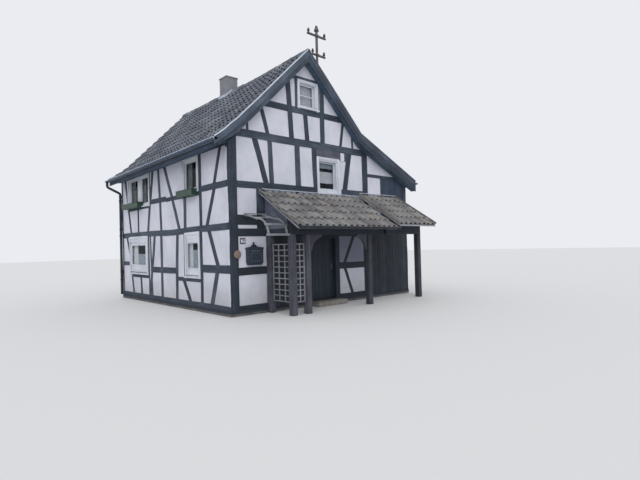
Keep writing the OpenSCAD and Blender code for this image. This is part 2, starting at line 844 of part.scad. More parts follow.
// Downpipe with a swan neck from the gutter's end back to the far street corner
pipe_gap = 20;
pipe_x = -pipe_r - pipe_gap;
pipe_y = street_l - 60;
outlet_y = street_l + 130;
outlet_h = 200;
neck_h = 230;
strap_w = 40;
module downpipe() {
    neck_top = gutter_z - gutter_r - outlet_h;
    neck_foot = neck_top - neck_h;
    color("#46505e") at_corner() {
        translate([gutter_x, outlet_y, neck_top]) cylinder(r = pipe_r, h = outlet_h);
        hull() {
            translate([gutter_x, outlet_y, neck_top]) sphere(r = pipe_r, $fn = 32);
            translate([pipe_x, pipe_y, neck_foot]) sphere(r = pipe_r, $fn = 32);
        }
        translate([pipe_x, pipe_y, plinth_h]) cylinder(r = pipe_r, h = neck_foot - plinth_h);
        for (z = [plinth_h + 500, floor_beam_z + 80, neck_foot - 200])
            translate([pipe_x, pipe_y - strap_w / 2, z]) cube([-pipe_x, strap_w, 30]);
    }
}

// A window frame with a casing, in a drawing plane: [left, foot, right, head]
module window_frame_2d(o, mullions) {
    difference() {
        bay([o[0], o[1]], [o[2], o[3]]);
        pane_bays_2d(o, mullions);
    }
}

// The glazed bays of a window with upright mullions
module pane_bays_2d(o, mullions) {
    clear_w = o[2] - o[0] - 2 * frame_w;
    bay_w = (clear_w - mullions * frame_w) / (mullions + 1);
    for (i = [0:mullions]) {
        left = o[0] + frame_w + i * (bay_w + frame_w);
        bay([left, o[1] + frame_w], [left + bay_w, o[3] - frame_w]);
    }
}

street_mullions = [0, 0, 1, 0];
module street_windows() {
    color("#f4f4f4") at_corner() for (i = [0:len(street_openings) - 1])
        street_plane(0, pane_set + 40) window_frame_2d(street_openings[i], street_mullions[i]);
}

module gable_windows() {
    color("#f4f4f4") at_corner() gable_plane(0, pane_set + 40) intersection() {
        union() {
            window_frame_2d(gable_opening, 0);
            window_frame_2d(attic_opening, 0);
        }
        under_rafters();
    }
}

module garden_windows() {
    color("#f4f4f4") at_corner() for (o = garden_openings)
        street_plane(total_w - pane_set - 40, pane_set + 40) window_frame_2d(o, 1);
}

module window_panes() {
    color([0.45, 0.5, 0.52, 0.5]) at_corner() {
        for (i = [0:len(street_openings) - 1])
            street_plane(pane_set, pane_t) pane_bays_2d(street_openings[i], street_mullions[i]);
        gable_plane(pane_set, pane_t) {
            pane_bays_2d(gable_opening, 0);
            pane_bays_2d(attic_opening, 0);
        }
        for (o = garden_openings) street_plane(total_w - pane_set - pane_t, pane_t) pane_bays_2d(o, 1);
    }
}

// Doorway: jambs and head, with a stop behind which the leaf closes, and two hinge pins
leaf_y = wall_t - 4 - leaf_t;
door_foot = plinth_h;
door_head = gable_beam_z;
stop_w = 14;
hinge_back = 15;
hinge_in = 20;
pin_r = 8;
pin_gap = 0.3;
eye_r = 14;
eye_h = 50;
hinge_x = door_x + jamb_w - hinge_back;
hinge_y = wall_t - 4 + hinge_in;

module door_frame_2d(w) {
    difference() {
        bay([door_x, door_foot], [door_x + door_w, door_head]);
        bay([door_x + w, door_foot - eps], [door_x + door_w - w, door_head - w]);
    }
}

module door_frame() {
    color(dark_timber) at_corner() {
        gable_plane(0, leaf_y - leaf_gap) door_frame_2d(jamb_w + stop_w);
        gable_plane(leaf_y - leaf_gap, wall_t - leaf_y + leaf_gap) door_frame_2d(jamb_w);
        for (z = hinge_z) translate([hinge_x, hinge_y, z]) {
            cylinder(r = pin_r, h = eye_h + 4);
            translate([-eye_r, -(hinge_y - wall_t), -22]) cube([eye_r + pin_r, hinge_y - wall_t + pin_r, 22]);
        }
    }
}

// Door leaf with two strap hinges whose eyes turn on the pins
leaf_x = door_x + jamb_w + leaf_gap;
leaf_w = door_w - 2 * jamb_w - 2 * leaf_gap;
leaf_z = plinth_h + ground_floor_t + 10;
leaf_h = door_head - jamb_w - leaf_gap - leaf_z;
hinge_end = 240;
hinge_z = [leaf_z + hinge_end, leaf_z + leaf_h - hinge_end - eye_h];
strap_t = hinge_in - eye_r;
strap_l = 400;
module front_door() {
    color("#3b4a44") at_corner() difference() {
        union() {
            translate([leaf_x, leaf_y, leaf_z]) cube([leaf_w, leaf_t, leaf_h]);
            for (z = hinge_z) translate([hinge_x, hinge_y, z + joint / 2]) {
                cylinder(r = eye_r, h = eye_h);
                translate([leaf_x - hinge_x, -hinge_in, 0]) cube([strap_l, strap_t, eye_h]);
                translate([0, -eye_r, 0]) cube([leaf_x - hinge_x + 30, eye_r, eye_h]);
            }
        }
        for (z = hinge_z) translate([hinge_x, hinge_y, z - eps])
            cylinder(r = pin_r + pin_gap, h = eye_h + 4 * eps);
    }
}

module door_step() {
    color("#77746e") at_corner()
        translate([door_x + door_w / 2 - step_w / 2, -plinth_out - step_d, 0])
            cube([step_w, step_d, plinth_h]);
}

// Top of the porch tiles at a distance d in front of the gable, raised by up
function porch_z(d, up) = porch_top + up - d * tan(porch_pitch);
function porch_eave_z() = porch_z(porch_out, 0);

// Side view of a porch roof, drawn as (-Y, Z)
module porch_slab(x0, x1, up) {
    translate([x0, 0, 0]) rotate([90, 0, 90]) linear_extrude(x1 - x0)
        polygon([[0, porch_z(0, up)], [-porch_out, porch_z(porch_out, up)],
            [-porch_out, porch_z(porch_out, up) - porch_cover_d], [0, porch_z(0, up) - porch_cover_d]]);
}

// Square posts standing on the ground
side_post_x = side_porch_x1 - 100 - porch_post;
post_back = porch_front - porch_post;
module porch_posts() {
    color("#5a5049") at_corner() {
        for (x = [porch_side_x, porch_mid_x, porch_right_x, side_post_x])
            translate([x, -porch_front, 0]) cube([porch_post, porch_post, porch_beam_z]);
        translate([porch_side_x, -wall_post_d, 0])
            cube([porch_post, wall_post_d - plinth_out, porch_beam_z]);
    }
}

// Beam over the posts, bevelled to the roof, with the cross beam back to the wall
wall_post_d = 180;
module porch_beams() {
    color(dark_timber) at_corner() {
        porch_beam(porch_side_x, porch_x1 - 20, 0);
        porch_beam(porch_x1 + 110, side_porch_x1 - 100, side_porch_up);
        translate([porch_side_x, -post_back + joint, porch_beam_z])
            cube([porch_post, post_back - joint, cross_beam_h]);
    }
}

cross_beam_h = 160;
module porch_beam(x0, x1, up) {
    translate([x0, 0, 0]) rotate([90, 0, 90]) linear_extrude(x1 - x0)
        polygon([[-porch_front, porch_beam_z], [-post_back, porch_beam_z],
            [-post_back, porch_z(post_back, up) - porch_cover_d],
            [-porch_front, porch_z(porch_front, up) - porch_cover_d]]);
}

// Curved braces in the upper corners of the entrance bay
brace_t = 60;
module porch_braces() {
    span = [porch_mid_x + porch_post, porch_right_x];
    color("#5a5049") at_corner() gable_plane(-porch_front + 40, brace_t) {
        difference() {
            bay([span[0], porch_beam_z - brace_r], [span[0] + brace_r, porch_beam_z]);
            translate([span[0] + brace_r + 60, porch_beam_z - brace_r - 60]) circle(brace_r, $fn = 96);
        }
        difference() {
            bay([span[1] - brace_r, porch_beam_z - brace_r], [span[1], porch_beam_z]);
            translate([span[1] - brace_r - 60, porch_beam_z - brace_r - 60]) circle(brace_r, $fn = 96);
        }
    }
}

module porch_roof() {
    color(porch_tile) at_corner() porch_slab(porch_x0, porch_x1, 0);
}

module side_porch_roof() {
    color(porch_tile) at_corner() porch_slab(porch_x1 + 100, side_porch_x1, side_porch_up);
}

// Boarded cheek between the cross beam and the porch roof
cheek_t = 30;
module porch_cheek() {
    foot = porch_beam_z + cross_beam_h;
    color("#5d5560") at_corner() translate([porch_side_x, 0, 0]) rotate([90, 0, 90])
        linear_extrude(cheek_t)
            polygon([[0, foot], [0, porch_z(0, 0) - porch_cover_d],
                [-post_back + joint, porch_z(post_back, 0) - porch_cover_d], [-post_back + joint, foot]]);
}

// A lattice of so many columns from (u0, v0) to (u1, v1) in a drawing plane
module lattice_2d(u0, v0, u1, v1, columns) {
    rows = floor((v1 - v0) / lattice_rise);
    for (i = [0:columns]) bay([u0 + i * (u1 - u0 - lattice_bar) / columns, v0],
        [u0 + i * (u1 - u0 - lattice_bar) / columns + lattice_bar, v1]);
    for (j = [0:rows]) bay([u0, v0 + j * (v1 - v0 - lattice_bar) / rows],
        [u1, v0 + j * (v1 - v0 - lattice_bar) / rows + lattice_bar]);
}

lattice_foot = 300;
lattice_t = 24;
module porch_side_lattice() {
    color("#9a948c") at_corner() street_plane(porch_side_x + porch_post / 2, lattice_t)
        lattice_2d(-post_back, lattice_foot, -wall_post_d, lattice_top, side_lattice_bays);
}

module porch_front_lattice() {
    color("#9a948c") at_corner() gable_plane(-porch_front + porch_post / 2, lattice_t)
        lattice_2d(porch_side_x + porch_post, lattice_foot, porch_mid_x, lattice_top, front_lattice_bays);
}

// Open weathered frame over the letter box: two curved rails and three battens
canopy_x = [420, 960];
canopy_z = 2400;
canopy_r = 480;
canopy_run = 520;
canopy_bar = 36;
batten_x = canopy_x[0] - 60;
batten_l = porch_side_x - 5 - batten_x;
module canopy_frame() {
    color("#a59c8c") at_corner() {
        for (x = canopy_x) translate([x, 0, 0]) rotate([90, 0, 90]) linear_extrude(canopy_bar) union() {
            bay([-canopy_run, canopy_z - canopy_bar], [0, canopy_z]);
            translate([-canopy_run, canopy_z - canopy_r]) intersection() {
                difference() {
                    circle(canopy_r, $fn = 96);
                    circle(canopy_r - canopy_bar, $fn = 96);
                }
                bay([-canopy_r, 0], [0, canopy_r]);
            }
        }
        for (y = [-110, -canopy_run]) translate([batten_x, y, canopy_z]) cube([batten_l, 50, 22]);
        translate([batten_x, -canopy_run - canopy_r - 22, canopy_z - canopy_r]) cube([batten_l, 22, 50]);
    }
}

// Sheet-metal letter box on the gable, with a sloping lid
letter_box_x = 430;
letter_box_z = 1225;
module letter_box() {
    lid = 60;
    color("#3c4148") at_corner() translate([letter_box_x, 0, letter_box_z]) rotate([90, 0, 90])
        linear_extrude(letter_box_w)
            polygon([[infill_set, 0], [infill_set, letter_box_h], [-letter_box_d, letter_box_h - lid],
                [-letter_box_d, 0]]);
}

plate_w = 160;
plate_x = 285;
module number_plate() {
    color("#dcdcdc") at_corner() translate([plate_x, infill_set - 8, 1750]) cube([plate_w, 8, 150]);
}

// Round slice of a log on the corner post
module log_slice() {
    color("#b5895f") at_corner() translate([corner_post_w / 2 + 70, 0, 1500]) rotate([90, 0, 0])
        cylinder(r = log_r, h = 30);
}

// Flower boxes under the upper street windows: [near end, far end, foot]
flower_box_runs = [[1540, 2480, upper_sill_z[1] + 10], [street_l - 1960, street_l - 600, upper_sill_z[1] - 10]];
module flower_boxes() {
    wall = 12;
    color("#2f4a3d") at_corner() for (b = flower_box_runs) translate([-trough_d, b[0], b[2]]) difference() {
        cube([trough_d, b[1] - b[0], trough_h]);
        translate([wall, wall, wall]) cube([trough_d - 2 * wall, b[1] - b[0] - 2 * wall, trough_h]);
    }
}

plinth();
ground_floor();
upper_floor();
attic_floor();
corner_posts();
street_beams();
street_posts();
street_braces();
street_infill();
gable_beams();
gable_posts();
gable_braces();
gable_infill();
leanto_boards();
garden_beams();
garden_posts();
garden_infill();
party_wall();
arcade_plate();
rafters();
street_roof();
garden_roof();
catslide_roof();
ridge_tiles();
barge_boards();
soffit_boards();
chimney();
roof_mast();
mast_insulators();
gutters();
downpipe();
street_windows();
gable_windows();
garden_windows();
window_panes();
door_frame();
front_door();
door_step();
porch_posts();
porch_beams();
porch_braces();
porch_roof();
side_porch_roof();
porch_cheek();
porch_side_lattice();
porch_front_lattice();
canopy_frame();
letter_box();
number_plate();
log_slice();
flower_boxes();
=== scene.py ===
# %% [markdown]
# A half timbered house
#
# The real house is a frame of hewn oak posts, beams and braces whose gaps are closed with
# plastered panels. A steep roof of clay pantiles covers it and runs down into a catslide over
# the lean-to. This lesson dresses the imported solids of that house: the solids stay the measure
# of every piece, and what is added here is the form and finish of the surfaces.

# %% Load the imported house
import math

import bmesh
import bpy
import numpy as np
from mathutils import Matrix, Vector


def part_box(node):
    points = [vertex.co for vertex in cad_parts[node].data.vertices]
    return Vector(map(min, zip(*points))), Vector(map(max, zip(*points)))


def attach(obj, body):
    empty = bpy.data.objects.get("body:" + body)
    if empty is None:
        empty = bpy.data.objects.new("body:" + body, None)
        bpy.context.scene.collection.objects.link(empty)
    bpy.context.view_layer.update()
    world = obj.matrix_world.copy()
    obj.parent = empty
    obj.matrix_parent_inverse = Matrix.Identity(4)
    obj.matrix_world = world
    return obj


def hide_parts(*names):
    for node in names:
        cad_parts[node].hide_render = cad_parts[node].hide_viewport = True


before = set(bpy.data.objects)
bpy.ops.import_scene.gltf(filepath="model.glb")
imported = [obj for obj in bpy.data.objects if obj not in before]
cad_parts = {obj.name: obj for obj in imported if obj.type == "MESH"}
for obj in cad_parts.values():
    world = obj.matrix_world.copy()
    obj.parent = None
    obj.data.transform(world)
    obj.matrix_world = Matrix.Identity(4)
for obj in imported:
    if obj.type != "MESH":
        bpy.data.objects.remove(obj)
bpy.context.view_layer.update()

# %% [markdown]
# Camera
#
# The photograph was taken at eye height from the street, so its upright lines stay nearly
# parallel. The camera stands where a fit of the building's edges puts it: 13.3 m in front of
# the footprint's centre and 9.2 m to the street side. Yaw, pitch and roll give three axes, and
# those are the columns of the camera's matrix.

# %% Camera
from mathutils import Matrix

eye = (-9.2286, -13.2709, 1.65)
yaw, pitch, roll = (math.radians(angle) for angle in (42.094, 0.767, -1.4536))
image_width, focal_pixels, sensor = 640, 460, 36.0

forward = np.array([math.sin(yaw) * math.cos(pitch), math.cos(yaw) * math.cos(pitch), math.sin(pitch)])
level = np.array([math.cos(yaw), -math.sin(yaw), 0.0])
upright = np.cross(level, forward)
right = math.cos(roll) * level + math.sin(roll) * upright
up = math.cos(roll) * upright - math.sin(roll) * level

camera = bpy.data.objects.new("camera", bpy.data.cameras.new("camera"))
camera.data.sensor_width = sensor
camera.data.lens = sensor * focal_pixels / image_width
turn = Matrix(np.column_stack([right, up, -forward]).tolist()).to_4x4()
camera.matrix_world = Matrix.Translation(eye) @ turn
bpy.context.scene.collection.objects.link(camera)
bpy.context.scene.camera = camera
print("lens", round(camera.data.lens, 2), "mm")

# %% [markdown]
# Light and ground
#
# An overcast day has no hard shadows: the whole sky is the lamp. A plain pale world gives most
# of the light, and one wide, weak sun from the street side lifts the upright walls. The floor
# is one large plane of pale grey that takes the house's soft shadow.

# %% Light and ground
def linear(colour):
    """Turns an sRGB hex colour into linear light, as the shader sockets expect it."""
    rgb = np.array([int(colour[i:i + 2], 16) for i in (1, 3, 5)]) / 255
    rgb = np.where(rgb <= 0.04045, rgb / 12.92, ((rgb + 0.055) / 1.055) ** 2.4)
    return (*rgb.tolist(), 1.0)


world = bpy.data.worlds.new("overcast")
world.use_nodes = True
sky = world.node_tree.nodes["Background"]
sky.inputs["Strength"].default_value = 0.92
sky.inputs["Color"].default_value = linear("#f3f5fa")
bpy.context.scene.world = world

sun = bpy.data.objects.new("sun", bpy.data.lights.new("sun", "SUN"))
sun.data.energy = 0.9
sun.data.angle = math.radians(50)
sun.rotation_euler = (math.radians(48), 0, math.radians(-38))
bpy.context.scene.collection.objects.link(sun)
bpy.context.scene.view_settings.view_transform = "Standard"

floor_half, floor_z = 90.0, -0.001
floor_corners = np.array([(-1, -1, 0), (1, -1, 0), (1, 1, 0), (-1, 1, 0)]) * floor_half + (0, 0, floor_z)
floor_mesh = bpy.data.meshes.new("floor")
floor_mesh.from_pydata(floor_corners.tolist(), [], [(0, 1, 2, 3)])
floor = bpy.data.objects.new("floor", floor_mesh)
bpy.context.scene.collection.objects.link(floor)
floor_paint = bpy.data.materials.new("pale_floor")
floor_paint.use_nodes = True
floor_paint.node_tree.nodes["Principled BSDF"].inputs["Base Color"].default_value = linear("#d9d9d8")
floor_paint.node_tree.nodes["Principled BSDF"].inputs["Roughness"].default_value = 0.9
floor_mesh.materials.append(floor_paint)
print("sun", sun.data.energy, "floor", 2 * floor_half, "m")

# %% [markdown]
# One corner to measure from
#
# Every measure below is taken from the foot of the house's street corner: X along the gable,
# Y along the street, Z up, in metres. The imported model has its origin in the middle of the
# footprint, so piece() adds that one shift when it makes an object.

# %% The corner
home = np.array([-3.45, -3.65, 0.0])
total_w, street_l = 6.90, 7.30
sprocket_x, ridge_x, ridge_z, kink_x, kink_z = 0.15, 2.49, 7.02, 4.53, 4.98
eave_x, garden_eave_x, roof_y0, roof_y1 = -0.46, 7.20, -0.20, 7.35
sprocket_slope, catslide_slope, porch_slope = (math.tan(math.radians(angle)) for angle in (35, 24, 32))


def roof_top(x):
    """Height of the roof's upper surface over X: 35 degrees on the sprockets at the street
    eave, 45 degrees on both main slopes, 24 degrees on the catslide."""
    x = np.asarray(x, float)
    steep = ridge_z - np.abs(x - ridge_x)
    sprocket = ridge_z - (ridge_x - sprocket_x) - (sprocket_x - x) * sprocket_slope
    catslide = kink_z - (x - kink_x) * catslide_slope
    return np.where(x < sprocket_x, sprocket, np.where(x > kink_x, catslide, steep))


def smooth(share):
    """Goes from 0 to 1 without a kink at either end."""
    share = np.clip(share, 0, 1)
    return share * share * (3 - 2 * share)


print("eave heights", np.round(roof_top([eave_x, garden_eave_x]), 3))

# %% [markdown]
# Lofts
#
# Nearly everything a carpenter or a tiler makes is a profile carried along a line: a beam, a
# gutter, a pantile. So one function closes such profiles into skins for many copies at once.
# A ring is one profile's points, neighbouring rings are joined with quads, and the first and
# last ring are closed. Each point also keeps a grain coordinate, in metres along and round the
# profile, so that a wood finish can follow every board whichever way it runs.

# %% Lofts
rng = np.random.default_rng(11)
grain_span = 40.0


def lofts(rings):
    """Skins of many copies. rings has the shape (copies, rings, points, 3): quads join ring r
    to r + 1, and a polygon closes each end. Each point keeps the distance along its copy, the
    distance round the ring and one random offset for the copy, and last a random tone."""
    rings = np.asarray(rings, float)
    copies, count, points = rings.shape[:3]
    first = (np.arange(copies) * count * points)[:, None, None]
    here = first + (np.arange(count - 1) * points)[None, :, None] + np.arange(points)
    after = first + (np.arange(count - 1) * points)[None, :, None] + (np.arange(points) + 1) % points
    quads = np.stack([here, after, after + points, here + points], -1).reshape(-1, 4)
    foot = first[:, 0] + np.arange(points)[::-1]
    head = first[:, 0] + (count - 1) * points + np.arange(points)
    steps = np.linalg.norm(np.diff(rings[:, :, 0], axis=1), axis=-1)
    along = np.concatenate([np.zeros((copies, 1)), np.cumsum(steps, 1)], 1)
    sides = np.linalg.norm(np.roll(rings, -1, 2) - rings, axis=-1)
    around = np.cumsum(sides, 2) - sides
    shift = rng.uniform(0, grain_span, (copies, 1, 1))
    tone = rng.uniform(0, 1, (copies, 1, 1)) + 0 * around
    grain = np.stack([along[:, :, None] + shift + 0 * around, around, shift + 0 * around, tone], -1)
    verts = rings.reshape(-1, 3)
    faces = quads.tolist() + foot.tolist() + head.tolist()
    a, b, c, d = verts[quads.T]
    middle = verts.mean(0)
    volume = np.einsum("ij,ij->i", a - middle, np.cross(b - middle, c - middle)).sum()
    volume += np.einsum("ij,ij->i", a - middle, np.cross(c - middle, d - middle)).sum()
    if volume < 0:
        faces = [face[::-1] for face in faces]
    return verts, faces, grain.reshape(-1, 4)


def joined(parts):
    """Puts several skins into one, with their faces renumbered."""
    start, verts, faces, grain = 0, [], [], []
    for v, f, g in parts:
        verts.append(v)
        faces += [[i + start for i in face] for face in f]
        grain.append(g)
        start += len(v)
    return np.concatenate(verts), faces, np.concatenate(grain)


print("grain offsets up to", grain_span, "m")

# %% [markdown]
# Bars, boxes and tubes
#
# A timber is a bar with its edges taken off, since no sawn edge stays sharp for long. A box that
# is given by its corners becomes such a bar along its longest side. Pipes are circles carried
# along a path, and what a lathe or a potter's wheel makes is a profile turned round an axis.

# %% Bars, boxes and tubes
def bars(ends, sizes, sides, edge=0.004):
    """Straight bars with their edges taken off. ends holds (start, end) points, sizes the
    width along the side direction and the depth across it. The profile is a rectangle with
    cut corners, and it is drawn in by the same cut at both ends."""
    ends, sizes, sides = (np.asarray(value, float) for value in (ends, sizes, sides))
    sides = np.broadcast_to(sides, ends[:, 0].shape)
    sizes = np.broadcast_to(sizes, (len(ends), 2))
    run = ends[:, 1] - ends[:, 0]
    length = np.linalg.norm(run, axis=1, keepdims=True)
    axis = run / length
    side = sides - (sides * axis).sum(1, keepdims=True) * axis
    side /= np.linalg.norm(side, axis=1, keepdims=True)
    depth = np.cross(axis, side)
    w, t = sizes[:, :1] / 2, sizes[:, 1:] / 2
    cut = np.minimum(edge, np.minimum(w, t) * 0.6)
    across = np.concatenate([w - cut, w, w, w - cut, cut - w, -w, -w, cut - w], 1)
    through = np.concatenate([t, t - cut, cut - t, -t, -t, cut - t, t - cut, t], 1)
    shrink = np.concatenate([1 - cut / w, np.ones_like(cut), np.ones_like(cut), 1 - cut / w], 1)
    places = np.concatenate([0 * cut, cut, length - cut, length], 1)
    rings = (ends[:, None, None, 0] + places[:, :, None, None] * axis[:, None, None]
             + (shrink[:, :, None] * across[:, None])[..., None] * side[:, None, None]
             + (shrink[:, :, None] * through[:, None])[..., None] * depth[:, None, None])
    return lofts(rings)


def boxes(spans, edge=0.004):
    """Bars that fill boxes given as low x, y, z, high x, y, z. Each runs along its longest side."""
    spans = np.sort(np.asarray(spans, float).reshape(-1, 2, 3), axis=1)
    middle, size = spans.mean(1), spans[:, 1] - spans[:, 0]
    run = np.eye(3)[size.argmax(1)]
    side = np.roll(run, 1, axis=1)
    half = (size * run).sum(1, keepdims=True) / 2 * run
    ends = np.stack([middle - half, middle + half], 1)
    other = np.roll(run, 2, axis=1)
    sizes = np.stack([(size * side).sum(1), (size * other).sum(1)], 1)
    return bars(ends, sizes, side, edge)


def tube(path, radius, points=12):
    """A round tube along a path: at each point a circle stands across the path's direction."""
    path = np.asarray(path, float)
    direction = np.gradient(path, axis=0)
    direction /= np.linalg.norm(direction, axis=1, keepdims=True)
    helper = np.eye(3)[np.abs(direction).sum(0).argmin()]
    side = np.cross(direction, helper)
    side /= np.linalg.norm(side, axis=1, keepdims=True)
    other = np.cross(direction, side)
    angle = np.linspace(0, 2 * math.pi, points, endpoint=False)[:, None]
    radius = np.broadcast_to(radius, len(path))[:, None, None]
    ring = path[:, None] + radius * (np.cos(angle) * side[:, None] + np.sin(angle) * other[:, None])
    return lofts(ring[None])


def turned(profile, centre, axis=2, points=24):
    """A turned body: (radius, height) points go round an upright axis, or round X or Y."""
    profile = np.asarray(profile, float)
    angle = np.linspace(0, 2 * math.pi, points, endpoint=False)
    ring = np.stack([profile[:, :1] * np.cos(angle), profile[:, :1] * np.sin(angle),
                     profile[:, 1:] + 0 * angle], -1)
    ring = np.roll(ring, axis - 2, axis=-1) + np.asarray(centre)
    return lofts(ring[None])


print("forms: bars, boxes, tube, turned")

# %% [markdown]
# From a skin to a piece
#
# A piece is a mesh with its finish, its grain and the body that it rides on: the house, or the
# door that turns. slot_of pairs finishes that have no slot of their own with the nearest one,
# but piece() does not use that slot.

# %% From a skin to a piece
HOUSE = "house"
DOOR = "door"
slot_of = {"verge_board": "blue_board", "lightened_soffit_board": "blue_board", "rubbed_timber": "black_timber",
           "shade_black_board": "brown_wood", "slate_board": "brown_wood", "rake_board": "weathered_wood",
           "white_strip_and_highlight": "blue_zinc", "strip_metal": "blue_zinc", "dark_iron": "grey_metal",
           "plate_edge": "pale_enamel"}
bevel_angle = math.radians(35)


def piece(name, skin, material, body=HOUSE, replaces=(), smooth=38, bevel=0, slot=None):
    """Makes the object, gives it its finish and its grain, and lets it ride on its body. It works
    out a slot from the material's name, slot_of or the caller, but does not use it."""
    verts, faces, grain = skin
    mesh = bpy.data.meshes.new(name)
    mesh.from_pydata((np.asarray(verts) + home).tolist(), [], faces)
    along = np.ascontiguousarray(grain[:, :3]).ravel()
    mesh.attributes.new("grain", "FLOAT_VECTOR", "POINT").data.foreach_set("vector", along)
    tone = np.ascontiguousarray(grain[:, 3])
    mesh.attributes.new("tone", "FLOAT", "POINT").data.foreach_set("value", tone)
    mesh.polygons.foreach_set("use_smooth", [True] * len(mesh.polygons))
    mesh.set_sharp_from_angle(angle=math.radians(smooth))
    mesh.materials.append(material)
    made = bpy.data.objects.new(name, mesh)
    bpy.context.scene.collection.objects.link(made)
    if bevel:
        edge = made.modifiers.new("worn_edges", "BEVEL")
        edge.width, edge.segments, edge.angle_limit = bevel, 2, bevel_angle
        edge.harden_normals = True
    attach(made, body)
    slot = slot or slot_of.get(material.name, material.name)
    if replaces:
        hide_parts(*replaces)
    print(name, len(mesh.polygons), "faces")
    return made


# %% [markdown]
# Old walls are out of true
#
# No line of a house like this is straight. One slow field of waves moves every wall piece by up
# to a centimetre, and because timber, plaster and windows all pass through the same field they
# still meet. Round the doorway the field dies out, so that the door keeps its clearance.

# %% The field
def waves(points, wavelength, seed):
    """Smooth noise from -1 to 1: the mean of six sine waves in fixed random directions."""
    draw = np.random.default_rng(seed)
    direction = draw.normal(size=(6, 3))
    direction /= np.linalg.norm(direction, axis=1, keepdims=True)
    number = direction * 2 * math.pi / wavelength * draw.uniform(0.7, 1.4, (6, 1))
    return np.sin(points @ number.T + draw.uniform(0, 2 * math.pi, 6)).mean(1) * 1.7


door_low, door_high = (np.array(corner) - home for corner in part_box("door_frame"))
sag_reach, hew_reach = 0.008, 0.003
field_still, field_free = 0.05, 0.45
gable_lift, beam_sag = 0.048, 0.030
lift_z, lift_over = 3.8, 1.5
hang_y, hang_z, hang_half_y, hang_half_z = 3.1, 2.2, 2.2, 0.9


def near_gable(y):
    """1 at the gable and 0 from 1.4 m behind it, for what only the gable shows."""
    return 1 - smooth((y - 0.2) / 1.2)


def hand_made(points):
    """Moves points by long waves, 8 mm at most, and short ones of 3 mm. The upper gable stands
    48 mm high of its neighbours and the street's floor beam hangs 30 mm low in the middle. Near
    the doorway and at the ground nothing moves."""
    points = np.asarray(points, float)
    x, y, z = points.T
    gap = np.maximum(np.maximum(door_low - points, points - door_high), 0)
    away = np.linalg.norm(gap, axis=1)
    share = smooth((away - field_still) / (field_free - field_still)) * smooth((z - 0.12) / 0.2)
    sag = np.stack([waves(points, 2.3, seed) for seed in (21, 22, 23)], 1)
    hew = np.stack([waves(points, 0.55, seed) for seed in (31, 32, 33)], 1)
    moved = points + share[:, None] * (sag_reach * sag + hew_reach * hew)
    moved[:, 2] += gable_lift * smooth((z - lift_z) / lift_over) * near_gable(y)
    hang = smooth(1 - np.abs(y - hang_y) / hang_half_y) * smooth(1 - np.abs(z - hang_z) / hang_half_z)
    moved[:, 2] -= beam_sag * (hang * (1 - smooth((x - 0.3) / 0.8)))
    return moved


def bent(skin, field=hand_made):
    """A skin whose points have passed through a field."""
    verts, faces, grain = skin
    return field(verts), faces, grain


print("doorway", np.round(door_low, 3), np.round(door_high, 3))

# %% [markdown]
# The roof has settled
#
# The rafters at the gable lean on its frame and stay up, while the ridge behind them has sunk and
# the street eave has gone down towards its far end. The roof's pieces pass through this second
# field together, so tiles, battens, ridge and gutter keep lying on each other.

# %% The roof's field
verge_rise, ridge_fall, eave_fall = 0.045, 0.050, 0.0128


def settled(points):
    """Moves points of the roof. The rafters at the gable stand 45 mm proud, the ridge has sunk
    50 mm behind them, and the street eave falls by 13 mm a metre towards its downpipe."""
    points = np.array(points, float)
    x, y = points[:, 0], points[:, 1]
    up = np.clip((x - eave_x) / (ridge_x - eave_x), 0, 1)
    beyond = 1 - smooth((x - ridge_x) / 2.0)
    fall = (1 - up) * eave_fall * (y - roof_y0) + up * beyond * ridge_fall * smooth(y / 2.7)
    # The proud rafters: from the eave up, 0.4 less at the ridge, none on the catslide, and 0.45
    # more over the sprocket.
    hump = smooth((x + 0.25) / 0.32) * (1 - 0.4 * smooth(1 - np.abs(x - ridge_x) / 0.7))
    hump *= 1 - smooth((x - 4.2) / 1.5)
    hump *= 1 + 0.45 * smooth(1 - np.abs(x - 0.2) / 0.7)
    points[:, 2] += verge_rise * hump * near_gable(y) - fall
    return points


def settled_verge(points):
    """The roof's field for the verge boards, whose lower edge is also cut away, by 18 mm along
    the street slope and by up to 0.11 m at its eave."""
    points = np.array(points, float)
    lower = smooth((roof_top(points[:, 0]) - points[:, 2] - 0.12) / 0.08)
    cut = 0.018 + 0.095 * smooth((sprocket_x - points[:, 0]) / 0.55)
    return settled(points) + np.stack([0 * cut, 0 * cut, lower * cut * (points[:, 0] < ridge_x)], 1)


print("ridge falls", ridge_fall, "m, eave falls", eave_fall, "m a metre")

# %% [markdown]
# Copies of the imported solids
#
# The timbers' visible skins are copies of the solids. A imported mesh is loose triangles, so the
# copy is merged, its flat faces are made whole, and it is cut in slices that the field can bend.
# Each loose part of it is one timber, which gets its own grain direction and tone.

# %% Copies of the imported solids
weld, flat_angle = 2e-5, math.radians(0.4)


def islands(skin):
    """The groups of vertices of a bmesh that edges connect."""
    seen, groups = set(), []
    for start in skin.verts:
        if start in seen:
            continue
        seen.add(start)
        group, stack = [], [start]
        while stack:
            vertex = stack.pop()
            group.append(vertex)
            for edge in vertex.link_edges:
                other = edge.other_vert(vertex)
                if other not in seen:
                    seen.add(other)
                    stack.append(other)
        groups.append(group)
    return groups


